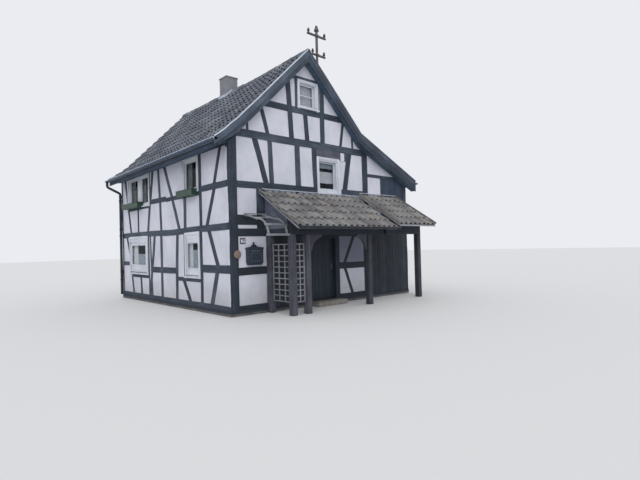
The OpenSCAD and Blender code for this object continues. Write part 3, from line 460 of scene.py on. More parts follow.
def dressed(*nodes, step=0.25, field=None):
    """The solids of CAD nodes as one skin: merged, their flat faces whole again, and cut
    every step so that the field can bend them. The grain runs along each solid's longest
    edge."""
    skin = bmesh.new()
    for node in nodes:
        skin.from_mesh(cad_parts[node].data)
    bmesh.ops.remove_doubles(skin, verts=skin.verts, dist=weld)
    bmesh.ops.translate(skin, verts=skin.verts, vec=tuple(-home))
    bmesh.ops.dissolve_limit(skin, angle_limit=flat_angle, verts=skin.verts, edges=skin.edges)
    along = skin.verts.layers.float_vector.new("along")
    tone = skin.verts.layers.float.new("tone_of")
    for group in islands(skin):
        edges = {edge for vertex in group for edge in vertex.link_edges}
        longest = max(edges, key=lambda edge: edge.calc_length())
        axis = np.array(longest.verts[1].co - longest.verts[0].co)
        axis /= np.linalg.norm(axis)
        side = np.cross(axis, np.eye(3)[np.abs(axis).argmin()])
        side /= np.linalg.norm(side)
        basis = np.stack([axis, side, np.cross(axis, side)])
        shift, own = rng.uniform(0, grain_span, 3), rng.uniform(0, 1)
        for vertex in group:
            vertex[along] = tuple(basis @ np.array(vertex.co) + shift)
            vertex[tone] = own
    points = np.array([vertex.co for vertex in skin.verts])
    if field:
        for axis in range(3):
            for place in np.arange(points[:, axis].min() + step, points[:, axis].max() - 0.1, step):
                normal = np.eye(3)[axis]
                bmesh.ops.bisect_plane(skin, geom=skin.verts[:] + skin.edges[:] + skin.faces[:],
                                       plane_co=tuple(normal * place), plane_no=tuple(normal))
    skin.verts.index_update()
    verts = np.array([vertex.co for vertex in skin.verts])
    grain = np.array([(*vertex[along], vertex[tone]) for vertex in skin.verts])
    faces = [[vertex.index for vertex in face.verts] for face in skin.faces]
    skin.free()
    return (field(verts) if field else verts), faces, grain


print("weld", weld, "m")

# %% [markdown]
# One helper for every node
#
# Weathered paint on oak is never one colour: the fibres hold dirt, the raised ones are rubbed
# pale, and long checks open along the grain. Such a finish is a small sum: noises of the right
# sizes are added, a ramp turns the sum into colours, and masks mix them. add() puts down one
# node and hands back its result, so that a material below reads like the sum itself.

# %% The helper
node_kinds = {
    "place": ("TexCoord", (), "Object"),
    "grain": ("Attribute", (), "Vector"),
    "tone": ("Attribute", (), "Fac"),
    "x y z": ("SeparateXYZ", (0,), None),
    "noise": ("TexNoise", ("Vector", "Scale", "Detail", "Roughness"), "Fac"),
    "ramp": ("ValToRGB", ("Fac",), "Color"),
    "mix": ("MixRGB", ("Fac", "Color1", "Color2"), "Color"),
    "rising": ("MapRange", ("Value", "From Min", "From Max"), "Result"),
    "vector": ("VectorMath", (0, 1), "Vector"),
    "length": ("VectorMath", (0,), "Value"),
    "bump": ("Bump", ("Height", "Distance", "Strength"), "Normal"),
}
black, white = "#000000", "#ffffff"


def add(material, kind, *values, stops=(), **settings):
    """Adds one node and returns its result. values fill the sockets that the table names, each a
    number, a vector, a hex colour or another node's result. stops are a ramp's (place, colour)
    pairs, and settings go on the node. Any kind outside the table is a Math operation."""
    type_name, sockets, result = node_kinds.get(kind, ("Math", (0, 1, 2), "Value"))
    made = material.node_tree.nodes.new("ShaderNode" + type_name)
    if type_name == "Math":
        made.operation = kind
    for name, value in settings.items():
        setattr(made, name, value)
    if stops:
        ramp = made.color_ramp.elements
        while len(ramp) < len(stops):
            ramp.new(0.5)
        for element, (place, colour) in zip(ramp, stops):
            element.position = place
            element.color = linear(colour)
    for socket, value in zip(sockets, values):
        if isinstance(value, bpy.types.NodeSocket):
            material.node_tree.links.new(value, made.inputs[socket])
        else:
            made.inputs[socket].default_value = linear(value) if isinstance(value, str) else value
    return made.outputs if result is None else made.outputs[result]


def paint(name, roughness=0.8, metallic=0.0):
    """A new material and its shader node."""
    material = bpy.data.materials.new(name)
    material.use_nodes = True
    shader = material.node_tree.nodes["Principled BSDF"]
    shader.inputs["Roughness"].default_value = roughness
    shader.inputs["Metallic"].default_value = metallic
    return material, shader


def finish(material, shader, colour, height, depth, strength=1.0):
    """Gives a shader its colour, and a relief whose height from 0 to 1 stands for depth metres."""
    links = material.node_tree.links
    links.new(colour, shader.inputs["Base Color"])
    links.new(add(material, "bump", height, depth, strength), shader.inputs["Normal"])


print("kinds of node", len(node_kinds) + 1)

# %% [markdown]
# Painted shade in the rooms and under the porch
#
# The solids have two faces: one to the weather and one to unlit rooms, and part of the front
# stands under the porch roof. Both the rooms and that part of the front get painted shade.
# Object coordinates are metres from the middle of the footprint, so plain arithmetic on them
# tells a point's side, and no second material is needed.

# %% Painted shade in the rooms and under the porch
room_skin, room_shade_colour, porch_shade_black = 0.10, "#36332f", "#1b222b"
low_x, low_y = home[:2].tolist()
porch_shade_strength = 0.72


def indoor_shade(material, colour):
    """Darkens a colour behind the outer 0.1 m of the walls as painted shade: rooms with no lamp lit."""
    axes = add(material, "x y z", add(material, "place"))
    width = add(material, "SUBTRACT", total_w / 2 - room_skin, add(material, "ABSOLUTE", axes["X"]))
    length = add(material, "SUBTRACT", street_l / 2 - room_skin, add(material, "ABSOLUTE", axes["Y"]))
    inside = add(material, "GREATER_THAN", add(material, "MINIMUM", width, length), 0.0)
    return add(material, "mix", inside, colour, room_shade_colour)


def porch_shade_share(material):
    """Share of painted shade on the front below the porch roof, standing for the roof's shadow. It
    is a product of ramps: down from the roof, in from the corner, and out of the wall."""
    axes = add(material, "x y z", add(material, "place"))
    share = porch_shade_strength
    for axis, none, full in (("Z", 2.62, 2.40), ("X", low_x + 0.12, low_x + 0.24),
                             ("Y", low_y + 0.10, low_y + 0.04)):
        share = add(material, "MULTIPLY", share, add(material, "rising", axes[axis], none, full))
    return share


print("rooms start", room_skin, "m behind the wall's face")

# %% [markdown]
# Weathered wood
#
# Every wood of the house is one recipe with other colours. Its fibres are 25 times longer than
# wide and follow the grain coordinate, so the streaks run along each member, whichever way that
# points. Each member also has a tone of its own, as no two beams come from the same tree.

# %% Weathered wood
fibre_share, patch_share, tone_share = 0.55, 0.45, 0.16


def wood(name, dark, mid, light, worn=0.35, roughness=0.82, check=0.5, rooms=False):
    """Weathered timber: fibres and broad patches added up and coloured by a ramp, raised fibres
    rubbed to the light colour, and thin checks, where a slow noise passes its middle, darkened.
    With rooms the side that faces the rooms is dimmed and what the porch shelters is blackened, both as
    painted shade."""
    material, shader = paint(name, roughness)
    grain = add(material, "grain", attribute_name="grain")
    tone = add(material, "tone", attribute_name="tone")

    def streaks(scale, detail, rough, drawn):
        """Noise whose waves along the grain are 1 / drawn times longer than across it."""
        along = add(material, "vector", grain, (drawn, 1, 1), operation="MULTIPLY")
        return add(material, "noise", along, scale, detail, rough)

    fibre = streaks(34, 5, 0.65, 0.04)
    patch = add(material, "noise", add(material, "place"), 1.6, 4, 0.6)
    both = add(material, "ADD", add(material, "MULTIPLY", fibre, fibre_share),
               add(material, "MULTIPLY", patch, patch_share))
    own = add(material, "MULTIPLY", add(material, "SUBTRACT", tone, 0.5), tone_share)
    colour = add(material, "ramp", add(material, "ADD", both, own),
                 stops=((0.30, dark), (0.50, mid), (0.72, light)))
    rubbed = add(material, "ramp", streaks(70, 3, 0.7, 0.03), stops=((0.58, black), (0.78, white)))
    colour = add(material, "mix", add(material, "MULTIPLY", rubbed, worn), colour, light)
    split = add(material, "ramp", streaks(21, 2, 0.5, 0.028),
                stops=((0.485, black), (0.5, white), (0.515, black)))
    colour = add(material, "mix", add(material, "MULTIPLY", split, check), colour, dark,
                 blend_type="MULTIPLY")
    if rooms:
        colour = add(material, "mix", porch_shade_share(material), indoor_shade(material, colour), porch_shade_black)
    height = add(material, "SUBTRACT", fibre, add(material, "MULTIPLY", split, 0.9))
    finish(material, shader, colour, height, 0.004)
    return material


# Blue-black oil paint on oak, chalked and rubbed down to the fibres: the drawing of the house.
# In the rooms and under the porch roof this paint carries painted shade.
black_timber = wood("black_timber", "#1f2832", "#36404e", "#596472", rooms=True)
# The same paint on the planks of the verge, chalkier because they stand in the open.
verge_board = wood("verge_board", "#2a313d", "#444e5d", "#636e7d", worn=0.3, check=0.3)
# A lintel whose paint has worn down to the brown wood.
rubbed_timber = wood("rubbed_timber", "#33353f", "#50535f", "#72737c", worn=0.7)
# Bare softwood gone grey in the rain: battens, lattices and the roof's inner timbers.
weathered_wood = wood("weathered_wood", "#56585d", "#84878d", "#b0b3ba", check=0.7)
# Posts under an old brown-black stain that has paled where hands and rain reach them.
brown_wood = wood("brown_wood", "#26272e", "#3b3c46", "#5a5a65")
# Near black boards whose colour is painted shade: they sink the back of the porch into shadow.
shade_black_board = wood("shade_black_board", "#1a1e25", "#2a3039", "#434a55")
# Planks of the cheek under the porch roof, their blue-grey stain washed thin.
slate_board = wood("slate_board", "#4a505e", "#646a79", "#7d8391", worn=0.2)
# The thin rakes of the porch roof, beige paint gone dull.
rake_board = wood("rake_board", "#5d5a58", "#85807b", "#a39e98", worn=0.3)
# Boards under a deep blue paint that has flattened to matt: a cold line under the tiles.
blue_board = wood("blue_board", "#1d2735", "#2e3b4e", "#47566b", worn=0.15, check=0.2)
# The same blue under the eaves, made lighter than blue_board as painted light that lifts the shaded underside.
lightened_soffit_board = wood("lightened_soffit_board", "#324354", "#465b70", "#5f758a", worn=0.1, check=0.2)
# Boards in the rooms, darkened as painted shade for the unlit rooms: through the panes they stay dark.
floor_board = wood("floor_board", "#2f2822", "#41382f", "#554a3e", worn=0.1)
# The door's dark oil paint, with a soft shine that shows its boards edge by edge.
green_paint = wood("green_paint", "#121b26", "#1c2836", "#2c3b4c", worn=0.15, check=0.2, roughness=0.6)
# White window paint, a little chalky: the brightest wood of the front.
white_paint = wood("white_paint", "#b6bac4", "#cfd3dc", "#dfe2e9", worn=0.2, check=0.15, roughness=0.55)
print("woods", len(bpy.data.materials) - 1)

# %% [markdown]
# Stone, metal and enamel
#
# Render, stone and sheet metal have no grain, only a broad unevenness and a fine texture. One
# recipe with two noises covers them: their sizes come from the stuff, from 90 waves a metre for
# sand to 6 for the clouds on old zinc, and the roughness and the metal share do the rest.

# %% Stone, metal and enamel
def mottled(name, dark, light, coarse, fine, depth, roughness=0.85, metallic=0.0, rooms=False):
    """A skin of one stuff: 3 parts of broad patches and 1 part of a fine texture, between two
    colours, with the fine texture as relief."""
    material, shader = paint(name, roughness, metallic)
    place = add(material, "place")
    broad = add(material, "noise", place, coarse, 6, 0.6)
    tiny = add(material, "noise", place, fine, 3, 0.6)
    both = add(material, "ADD", add(material, "MULTIPLY", broad, 0.75), add(material, "MULTIPLY", tiny, 0.25))
    colour = add(material, "ramp", both, stops=((0.35, dark), (0.65, light)))
    if rooms:
        colour = indoor_shade(material, colour)
    finish(material, shader, colour, tiny, depth)
    return material


# Cement render, floated by hand: flat, matt and slightly cloudy; inside the rooms it is darkened as painted
# shade.
grey_render = mottled("grey_render", "#8e8f90", "#a4a4a2", 1.4, 80, 0.002, rooms=True)
# Lime mortar under the ridge tiles, dark with soot.
mortar = mottled("mortar", "#4c5057", "#666a70", 20, 90, 0.002)
# Roughcast on the chimney, stained by smoke and rain.
chimney_render = mottled("chimney_render", "#6f727b", "#8d8d92", 2.5, 60, 0.003)
# Worn sandstone: grainy, and paler where feet have polished it.
step_stone = mottled("step_stone", "#6d6a66", "#908c86", 5, 90, 0.002)
# Galvanised steel gone dull, with a brown tinge of rust.
grey_metal = mottled("grey_metal", "#4c4b4e", "#6b686a", 6, 90, 0.0003, 0.55, 0.6)
# Zinc sheet with its blue-grey patina.
blue_zinc = mottled("blue_zinc", "#36465c", "#4d5f78", 5, 90, 0.0003, 0.5, 0.4)
# Painted iron, nearly black, with little shine left.
dark_iron = mottled("dark_iron", "#1f242b", "#323941", 6, 90, 0.0004, 0.55, 0.4)
# Sheet metal under white paint on the verge; on the street gutter's rolled edge the same white is a painted
# highlight. These are the brightest lines of the roof.
white_strip_and_highlight = mottled("white_strip_and_highlight", "#b4becb", "#d2dae6", 5, 90, 0.0003, 0.45)
# Bare lead-grey sheet of the flashings, brighter than zinc because it was dressed by hand.
strip_metal = mottled("strip_metal", "#a4acb8", "#bcc4cf", 5, 90, 0.0003, 0.5, 0.2)
# Hammered paint on the letter box: small dimples that break up the shine.
box_metal = mottled("box_metal", "#232c38", "#333f4f", 60, 160, 0.0012, 0.45, 0.2)
# Stove enamel, smooth and hard: dark at the plate's edge and on its digit, pale on its face.
plate_edge = mottled("plate_edge", "#2a1f24", "#3b2c31", 40, 120, 0.0002, 0.4)
pale_enamel = mottled("pale_enamel", "#c7ccd4", "#d9dde2", 8, 40, 0.0001, 0.25)
# Salt-glazed porcelain, brown and shiny.
brown_porcelain = mottled("brown_porcelain", "#2f2d33", "#45424a", 8, 30, 0.0001, 0.3)
# Moulded plastic of the flower troughs, bleached a little by the sun.
trough_plastic = mottled("trough_plastic", "#22382f", "#2f4a3d", 5, 60, 0.0003, 0.5)
print("materials", len(bpy.data.materials))

# %% [markdown]
# The plinth
#
# A cement skirting whose upper half was tarred together with the sill, so only its foot is grey.
# The tar's edge was brushed by eye: the height at which it starts wavers with the grit.

# %% The plinth
plinth_paint, shader = paint("plinth_paint", 0.9)
place = add(plinth_paint, "place")
grit = add(plinth_paint, "noise", place, 30, 5, 0.6)
cement = add(plinth_paint, "ramp", add(plinth_paint, "noise", place, 2.2, 5, 0.6),
             stops=((0.35, "#4c4a4b"), (0.65, "#6e6b6a")))
brushed = add(plinth_paint, "MULTIPLY_ADD", grit, 0.02, add(plinth_paint, "x y z", place)["Z"])
tar_from, tar_full = 0.062, 0.072
tarred = add(plinth_paint, "rising", brushed, tar_from, tar_full)
finish(plinth_paint, shader, add(plinth_paint, "mix", tarred, cement, "#2c333d"), grit, 0.003)
print("tar from", tar_from, "m")

# %% [markdown]
# Plaster
#
# The panels are lime plaster on lath, laid by trowel and washed again every few years. The eye
# reads them by three things: a slow unevenness, rain streaks that start under the beams, and
# splash dirt low down. Each is a noise of its own size.

# %% Plaster
white_plaster, shader = paint("white_plaster", 0.92)
place = add(white_plaster, "place")
axes = add(white_plaster, "x y z", place)
trowel = add(white_plaster, "noise", place, 5.5, 5, 0.55)
patch = add(white_plaster, "noise", place, 1.1, 5, 0.6)
sand = add(white_plaster, "noise", place, 170, 2, 0.6)
upright_place = add(white_plaster, "vector", place, (1, 1, 0.12), operation="MULTIPLY")
streak = add(white_plaster, "noise", upright_place, 7, 4, 0.6)
colour = add(white_plaster, "ramp", patch, stops=((0.30, "#bfc1cc"), (0.52, "#cecfda"), (0.75, "#dadae3")))
runs = add(white_plaster, "ramp", streak, stops=((0.52, black), (0.85, white)))
runs = add(white_plaster, "MULTIPLY", runs, add(white_plaster, "MULTIPLY", patch, 0.5))
colour = add(white_plaster, "mix", runs, colour, "#a9adb8")

# %% Dirt and painted shade on the plaster
splash_top, splash_most = 0.85, 0.45
splash = add(white_plaster, "MAXIMUM", add(white_plaster, "SUBTRACT", splash_top, axes["Z"]), 0.0)
splash = add(white_plaster, "MULTIPLY", splash, add(white_plaster, "ADD", trowel, 0.2))
splash = add(white_plaster, "MINIMUM", splash, splash_most)
colour = add(white_plaster, "mix", splash, colour, "#9d9b99")
# Under the porch roof the wall is darkened as painted shade for the roof's shadow, most at the top.
plaster_porch_shade = add(white_plaster, "MULTIPLY_ADD", add(white_plaster, "rising", axes["Z"], 0.95, 1.2), 0.88, 0.12)
for share in (add(white_plaster, "LESS_THAN", axes["Y"], low_y + 0.05),
              add(white_plaster, "rising", axes["X"], low_x + 1.9, low_x + 2.1),
              add(white_plaster, "rising", axes["Z"], 2.5, 2.3)):
    plaster_porch_shade = add(white_plaster, "MULTIPLY", plaster_porch_shade, share)
colour = add(white_plaster, "mix", plaster_porch_shade, colour, "#787b8b")
lay = add(white_plaster, "ADD", add(white_plaster, "MULTIPLY", trowel, 0.85),
          add(white_plaster, "MULTIPLY", sand, 0.15))
# Behind the outer skin of the walls the plaster is darkened as painted shade for the unlit rooms.
finish(white_plaster, shader, indoor_shade(white_plaster, colour), lay, 0.012, 0.8)
print("splash up to", splash_top, "m")

# %% [markdown]
# Clay tiles
#
# Every tile comes out of the kiln a little different, so the colour of a tile follows its own
# tone. Over that lies what weather adds: lichen in pale spots and dark algae in the troughs.

# %% Clay tiles
def clay(name, tones, lichen, moss):
    """Fired clay whose colour follows each tile's tone, with lichen spots and algae."""
    material, shader = paint(name, 0.85)
    place = add(material, "place")
    colour = add(material, "ramp", add(material, "tone", attribute_name="tone"), stops=tones)
    for scale, detail, rough, none, full, most, weather in (
            (26, 3, 0.7, 0.60, 0.70, 0.55, lichen), (3.2, 5, 0.65, 0.48, 0.72, 0.5, moss)):
        cover = add(material, "ramp", add(material, "noise", place, scale, detail, rough),
                    stops=((none, black), (full, white)))
        colour = add(material, "mix", add(material, "MULTIPLY", cover, most), colour, weather)
    finish(material, shader, colour, add(material, "noise", place, 90, 3, 0.7), 0.0015)
    return material


# Reduced, blue-smoked clay on the main roofs, and red clay gone brown-grey on the porch.
grey_tile = clay("grey_tile", ((0.0, "#4e535c"), (0.45, "#5f646e"), (0.8, "#6e737d"), (1.0, "#80848b")),
                 "#8b9099", "#40444b")
brown_tile = clay("brown_tile", ((0.0, "#6b696a"), (0.4, "#7f7e7e"), (0.86, "#8e8c8b"), (1.0, "#948c84")),
                  "#aaa8a3", "#504f4f")

# Float glass: a thin pane lets nearly all light straight through, so the shader is mostly clear
# and only its gloss and a little dust stay. The rooms behind it show dark.
window_glass, shader = paint("window_glass", 0.03)
shader.inputs["Base Color"].default_value = linear("#2a323a")
shader.inputs["Alpha"].default_value = 0.14
print("clay and glass ready")

# %% [markdown]
# The frame and its panels
#
# A carpenter raises the frame first: posts, beams over them, then braces let in at a slant. The
# plasterer fills what is left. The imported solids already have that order, so the visible pieces
# are copies of them, bent by the field, with their edges worn round by a bevel.

# %% Frame and panels
def tipped(points):
    """Raises the canopy's back batten by 80 mm and lowers the one in front of it by 40 mm."""
    points = np.array(points, float)
    back = np.interp(points[:, 1], [-1.0, -0.50, -0.14, 0.0], [0.0, -0.04, 0.08, 0.08])
    return points + np.stack([0 * back, 0 * back, back * smooth((points[:, 2] - 2.0) / 0.3)], 1)


timbers = [
    ("corner_post_timbers", ["corner_posts"], black_timber, 0.010, hand_made),
    ("street_beam_timbers", ["street_beams"], black_timber, 0.008, hand_made),
    ("street_post_timbers", ["street_posts"], black_timber, 0.008, hand_made),
    ("street_brace_timbers", ["street_braces"], black_timber, 0.007, hand_made),
    ("gable_beam_timbers", ["gable_beams"], black_timber, 0.008, hand_made),
    ("gable_post_timbers", ["gable_posts"], black_timber, 0.008, hand_made),
    ("gable_brace_timbers", ["gable_braces"], black_timber, 0.007, hand_made),
    ("garden_beam_timbers", ["garden_beams"], black_timber, 0.008, hand_made),
    ("garden_post_timbers", ["garden_posts"], black_timber, 0.008, hand_made),
    ("street_panels", ["street_infill"], white_plaster, 0, hand_made),
    ("gable_panels", ["gable_infill"], white_plaster, 0, hand_made),
    ("garden_panels", ["garden_infill"], white_plaster, 0, hand_made),
    ("lean_to_boards", ["leanto_boards"], blue_board, 0, hand_made),
    ("party_wall_render", ["party_wall"], grey_render, 0, None),
    ("plinth_band", ["plinth"], plinth_paint, 0.012, None),
    ("ground_floor_boards", ["ground_floor"], floor_board, 0, None),
    ("upper_floor_boards", ["upper_floor"], floor_board, 0, None),
    ("attic_floor_boards", ["attic_floor"], floor_board, 0, None),
    ("arcade_plate_timber", ["arcade_plate"], weathered_wood, 0.006, None),
    ("rafter_timbers", ["rafters"], weathered_wood, 0.004, settled),
    ("barge_board_planks", ["barge_boards"], black_timber, 0.003, settled_verge),
    ("soffit_planks", ["soffit_boards"], lightened_soffit_board, 0, settled),
    ("chimney_stack", ["chimney"], chimney_render, 0.012, None),
    ("door_frame_timbers", ["door_frame"], black_timber, 0.003, None),
    ("step_block", ["door_step"], step_stone, 0.012, None),
    ("porch_post_timbers", ["porch_posts"], brown_wood, 0.008, None),
    ("porch_beam_timbers", ["porch_beams"], black_timber, 0.007, None),
    ("porch_brace_timbers", ["porch_braces"], brown_wood, 0.005, None),
    ("porch_cheek_boards", ["porch_cheek"], slate_board, 0.002, None),
    ("side_lattice_bars", ["porch_side_lattice"], weathered_wood, 0.002, None),
    ("front_lattice_bars", ["porch_front_lattice"], weathered_wood, 0.002, None),
    ("canopy_battens", ["canopy_frame"], weathered_wood, 0.003, tipped),
]
for name, nodes, material, bevel, field in timbers:
    piece(name, dressed(*nodes, field=field), material, replaces=nodes, bevel=bevel)

# %% [markdown]
# Boards and laps on the wall
#
# Behind the lattice and under the side porch the panels are closed by upright boards, coloured
# near black as painted shade, so those corners stay dark. At the street corner the plasterer took
# the coat over the narrow side of the post, and one more batten lies halfway down the canopy's arc.

# %% Boards and laps
shelter, board_w = [], 0.125
for x_from, x_to, z_top in ((1.205, 2.455, 1.93), (4.950, 6.730, 2.18)):
    count = round((x_to - x_from) / board_w)
    lefts = np.linspace(x_from, x_to, count + 1)[:-1]
    step = (x_to - x_from) / count
    shelter += [(x, -0.024, 0.132, x + step - 0.006, -0.004, z_top) for x in lefts]
piece("shade_black_wall_boards", boxes(shelter, 0.002), shade_black_board)

lap_front, lap_back, lap_side = -0.004, 0.006, 0.134
lap_rings = []
for near, z_from, z_to in ((0.012, 0.25, 1.035), (0.012, 1.245, 2.095),
                           (0.03, 2.275, 3.145), (0.055, 3.315, 4.10)):
    levels = np.linspace(z_from, z_to, 9)[:, None]
    edge = near + 0.006 * np.sin(levels * 9) + 0.004 * np.sin(levels * 23)
    broad = lap_side - near
    outline = np.array([(lap_back, 0), (lap_front + 0.003, 0), (lap_front, 0.004), (lap_front, broad),
                        (lap_back, broad)])
    side = edge + outline[:, 1] * (lap_side - edge) / broad
    lap_rings.append(np.stack([outline[:, 0] + 0 * levels, side, levels + 0 * outline[:, 0]], -1))
piece("corner_plaster_laps", bent(lofts(np.array(lap_rings))), white_plaster)

arc_low, arc_r, arc_y = 1.92, 0.46, -0.52
arc_turn, batten_off = math.radians(57), 0.018
middle = np.array([0.0, arc_y - arc_r * math.sin(arc_turn) - batten_off,
                   arc_low + arc_r * math.cos(arc_turn) + batten_off])
arc_batten = bars([[middle + (0.37, 0, 0), middle + (1.045, 0, 0)]], [(0.05, 0.022)], (0, 1, 1), 0.003)
piece("canopy_arc_batten", arc_batten, weathered_wood)

# %% [markdown]
# Roof tiles
#
# A pantile is an S in section: a trough that carries the water and a roll that laps over the
# next tile's edge. Its lower end lies on the course below, so each tile tips up, and its roll
# is higher there than at the top: those open ends are the dark crescents that the eye sees. A
# ring here is the S and its underside, 11 mm lower, and it is carried up the slope along the
# roof's own line, which bends at the sprocket and at the catslide.

# %% Roof tiles
tile_thick, tile_wave, tile_taper, tile_tip, tile_proud = 0.011, 0.058, 0.70, 0.026, 0.028
tile_length = 1.16


def tile_section(count=9):
    """The S of a pantile: (place across from 0 to 1, height from 0 to 1). It is one sine wave
    with half its amplitude again at twice the frequency, which sharpens the roll."""
    across = np.linspace(0.0, 1.03, count)
    wave = np.sin(2 * math.pi * (across + 0.02)) + 0.28 * np.sin(4 * math.pi * (across + 0.02) - 0.6)
    return across, (wave - wave.min()) / (wave.max() - wave.min())


def tile_field(path, side_from, side_to, columns, courses, sideways, wave=tile_wave):
    """Tiles over a slope. path holds the slope's upper line from the eave to the top, as
    (out, up) pairs; sideways says whether the columns run along X or along Y. The rolls stand
    28 mm over that line and the troughs as deep as the wave below them. A tile is 1.16 times
    as long as a course is high, so that its head lies under the next one's foot."""
    path = np.asarray(path, float)
    reach = np.concatenate([[0], np.cumsum(np.linalg.norm(np.diff(path, axis=0), axis=1))])
    across, high = tile_section()
    gauge, cover = reach[-1] / courses, (side_to - side_from) / columns
    grids = np.meshgrid(np.arange(courses), np.arange(columns), indexing="ij")
    course, column = (grid.ravel() for grid in grids)
    count = len(course)
    share = np.array([0.0, 0.5, 1.0])
    slip = rng.normal(0, 0.006, count)
    slip[course == 0] = 0
    at = (course[:, None] + share * tile_length) * gauge + slip[:, None]
    at = np.minimum(at, reach[-1])
    out = np.interp(at, reach, path[:, 0])
    rise = np.interp(at, reach, path[:, 1])
    near = 0.05
    run_out = np.interp(at + near, reach, path[:, 0]) - np.interp(at - near, reach, path[:, 0])
    run_up = np.interp(at + near, reach, path[:, 1]) - np.interp(at - near, reach, path[:, 1])
    size = np.hypot(run_out, run_up)
    normal_out, normal_up = -run_up / size, run_out / size
    turn = np.sign(normal_up[:1, :1])
    normal_out, normal_up = normal_out * turn, normal_up * turn
    lift = tile_proud + tile_tip * (1 - share) - wave - tile_tip + rng.normal(0, 0.0015, (count, 1))
    rock = rng.normal(0, 0.0025, (count, 1, 1)) * (across - 0.5)
    roll = wave * (1 - (1 - tile_taper) * share)[None, :, None]
    top = lift[..., None] + roll * high + rock
    low = top - tile_thick
    height = np.concatenate([top, low[..., ::-1]], -1)
    place = np.concatenate([across, across[::-1]])
    sway = rng.normal(0, 0.0025, (count, 3, 1))
    side = side_from + (column[:, None, None] + place) * cover + sway
    outs = out[..., None] + normal_out[..., None] * height
    ups = rise[..., None] + normal_up[..., None] * height
    rings = np.stack([side, outs, ups] if sideways == "x" else [outs, side, ups], -1)
    return lofts(rings)


print("tile section", len(tile_section()[0]), "points")

# %% Tiles on the main roofs
street_path = [(x, float(roof_top(x))) for x in (eave_x, sprocket_x, ridge_x)]
garden_path = [(x, float(roof_top(x))) for x in (garden_eave_x, kink_x, ridge_x)]
street_tiles = tile_field(street_path, roof_y0 + 0.01, roof_y1, 38, 13, "y")
garden_tiles = tile_field(garden_path, roof_y0 + 0.01, roof_y1, 38, 18, "y")
piece("street_roof_tiles", bent(street_tiles, settled), grey_tile, replaces=["street_roof"], smooth=50)
piece("garden_roof_tiles", bent(garden_tiles, settled), grey_tile, replaces=["garden_roof", "catslide_roof"],
      smooth=50)

# %% [markdown]
# Tiles on the porch
#
# Both porch roofs lean on the gable at one slope, the side porch a hand higher. Their tiles are
# an older, coarser sort with a deeper wave, and their columns run along the gable.

# %% Tiles on the porch
porch_z, porch_out, porch_wave, side_up = 3.14, -1.57, 0.066, 0.1
porch_x, side_porch_x = (0.86, 4.44), (4.56, 6.29)


def porch_top(y, up=0.0):
    """Height of the porch roof's upper surface: 3.14 m at the wall, falling at 32 degrees."""
    return porch_z + up + y * porch_slope


porch_path = [(y, porch_top(y)) for y in (porch_out, -0.005)]
side_path = [(y, porch_top(y, side_up)) for y in (porch_out, -0.005)]
piece("porch_roof_tiles", tile_field(porch_path, *porch_x, 17, 5, "x", porch_wave), brown_tile,
      replaces=["porch_roof"], smooth=50)
piece("side_porch_roof_tiles", tile_field(side_path, *side_porch_x, 8, 5, "x", porch_wave), brown_tile,
      replaces=["side_porch_roof"], smooth=50)

# %% [markdown]
# Decks under the tiles
#
# Battens and boards carry the tiles. Only their ends show at the eaves and verges, so one slab
# for each roof stands for them: a polygon drawn in the roof's section and pushed along it.

# %% Decks
def pushed(outline, low, high, along="y", steps=2):
    """A slab: an outline of (out, up) points pushed from low to high along X or Y."""
    outline = np.asarray(outline, float)
    places = np.linspace(low, high, steps)
    out = np.broadcast_to(outline[:, 0], (steps, len(outline)))
    up = np.broadcast_to(outline[:, 1], (steps, len(outline)))
    far = np.broadcast_to(places[:, None], (steps, len(outline)))
    return lofts(np.stack([out, far, up] if along == "y" else [far, out, up], -1)[None])


def roof_line(xs, drop):
    """Points of the roof's section over some X, a drop below the upper surface."""
    return [(x, float(roof_top(x)) - drop) for x in xs]


deck_upper, deck_lower = 0.085, 0.168
deck_xs = [eave_x + 0.03, sprocket_x, ridge_x, kink_x, garden_eave_x - 0.03]
deck = roof_line(deck_xs, deck_upper) + roof_line(deck_xs[::-1], deck_lower)
# At both eaves the slab is thinner, so that the gutters find room under it.
for corner, thinner in ((5, 0.03), (9, 0.05)):
    deck[corner] = (deck[corner][0], deck[corner][1] + thinner)
piece("roof_deck", bent(pushed(deck, roof_y0 + 0.005, roof_y1 - 0.005, steps=24), settled), weathered_wood)


def porch_deck(low, high, up):
    """The slab under a porch roof, from 72 mm to 110 mm below its upper surface."""
    foot = porch_out + 0.02
    outline = [(foot, porch_top(foot, up) - 0.072), (-0.002, porch_top(0, up) - 0.072),
               (-0.002, porch_top(0, up) - 0.11), (foot, porch_top(foot, up) - 0.108)]
    return pushed(outline, low, high, "x")


porch_decks = joined([porch_deck(*porch_x, 0.0), porch_deck(*side_porch_x, side_up)])
piece("porch_roof_decks", porch_decks, weathered_wood)

fascia = np.array([(-0.391, 4.045), (-0.381, 4.045), (-0.381, 4.236), (-0.391, 4.236)])
fascia_board = pushed(fascia, roof_y0 + 0.02, roof_y1 - 0.01, steps=20)
piece("street_fascia_board", bent(fascia_board, settled), blue_board)

# %% [markdown]
# Ridge
#
# Half round tiles bedded in mortar close the ridge, each lapping the next by a few centimetres.
# A ring here is the half round with a short straight skirt at both sides, and each tile has
# a socket of full size at one end and a slimmer body that goes under the next socket.

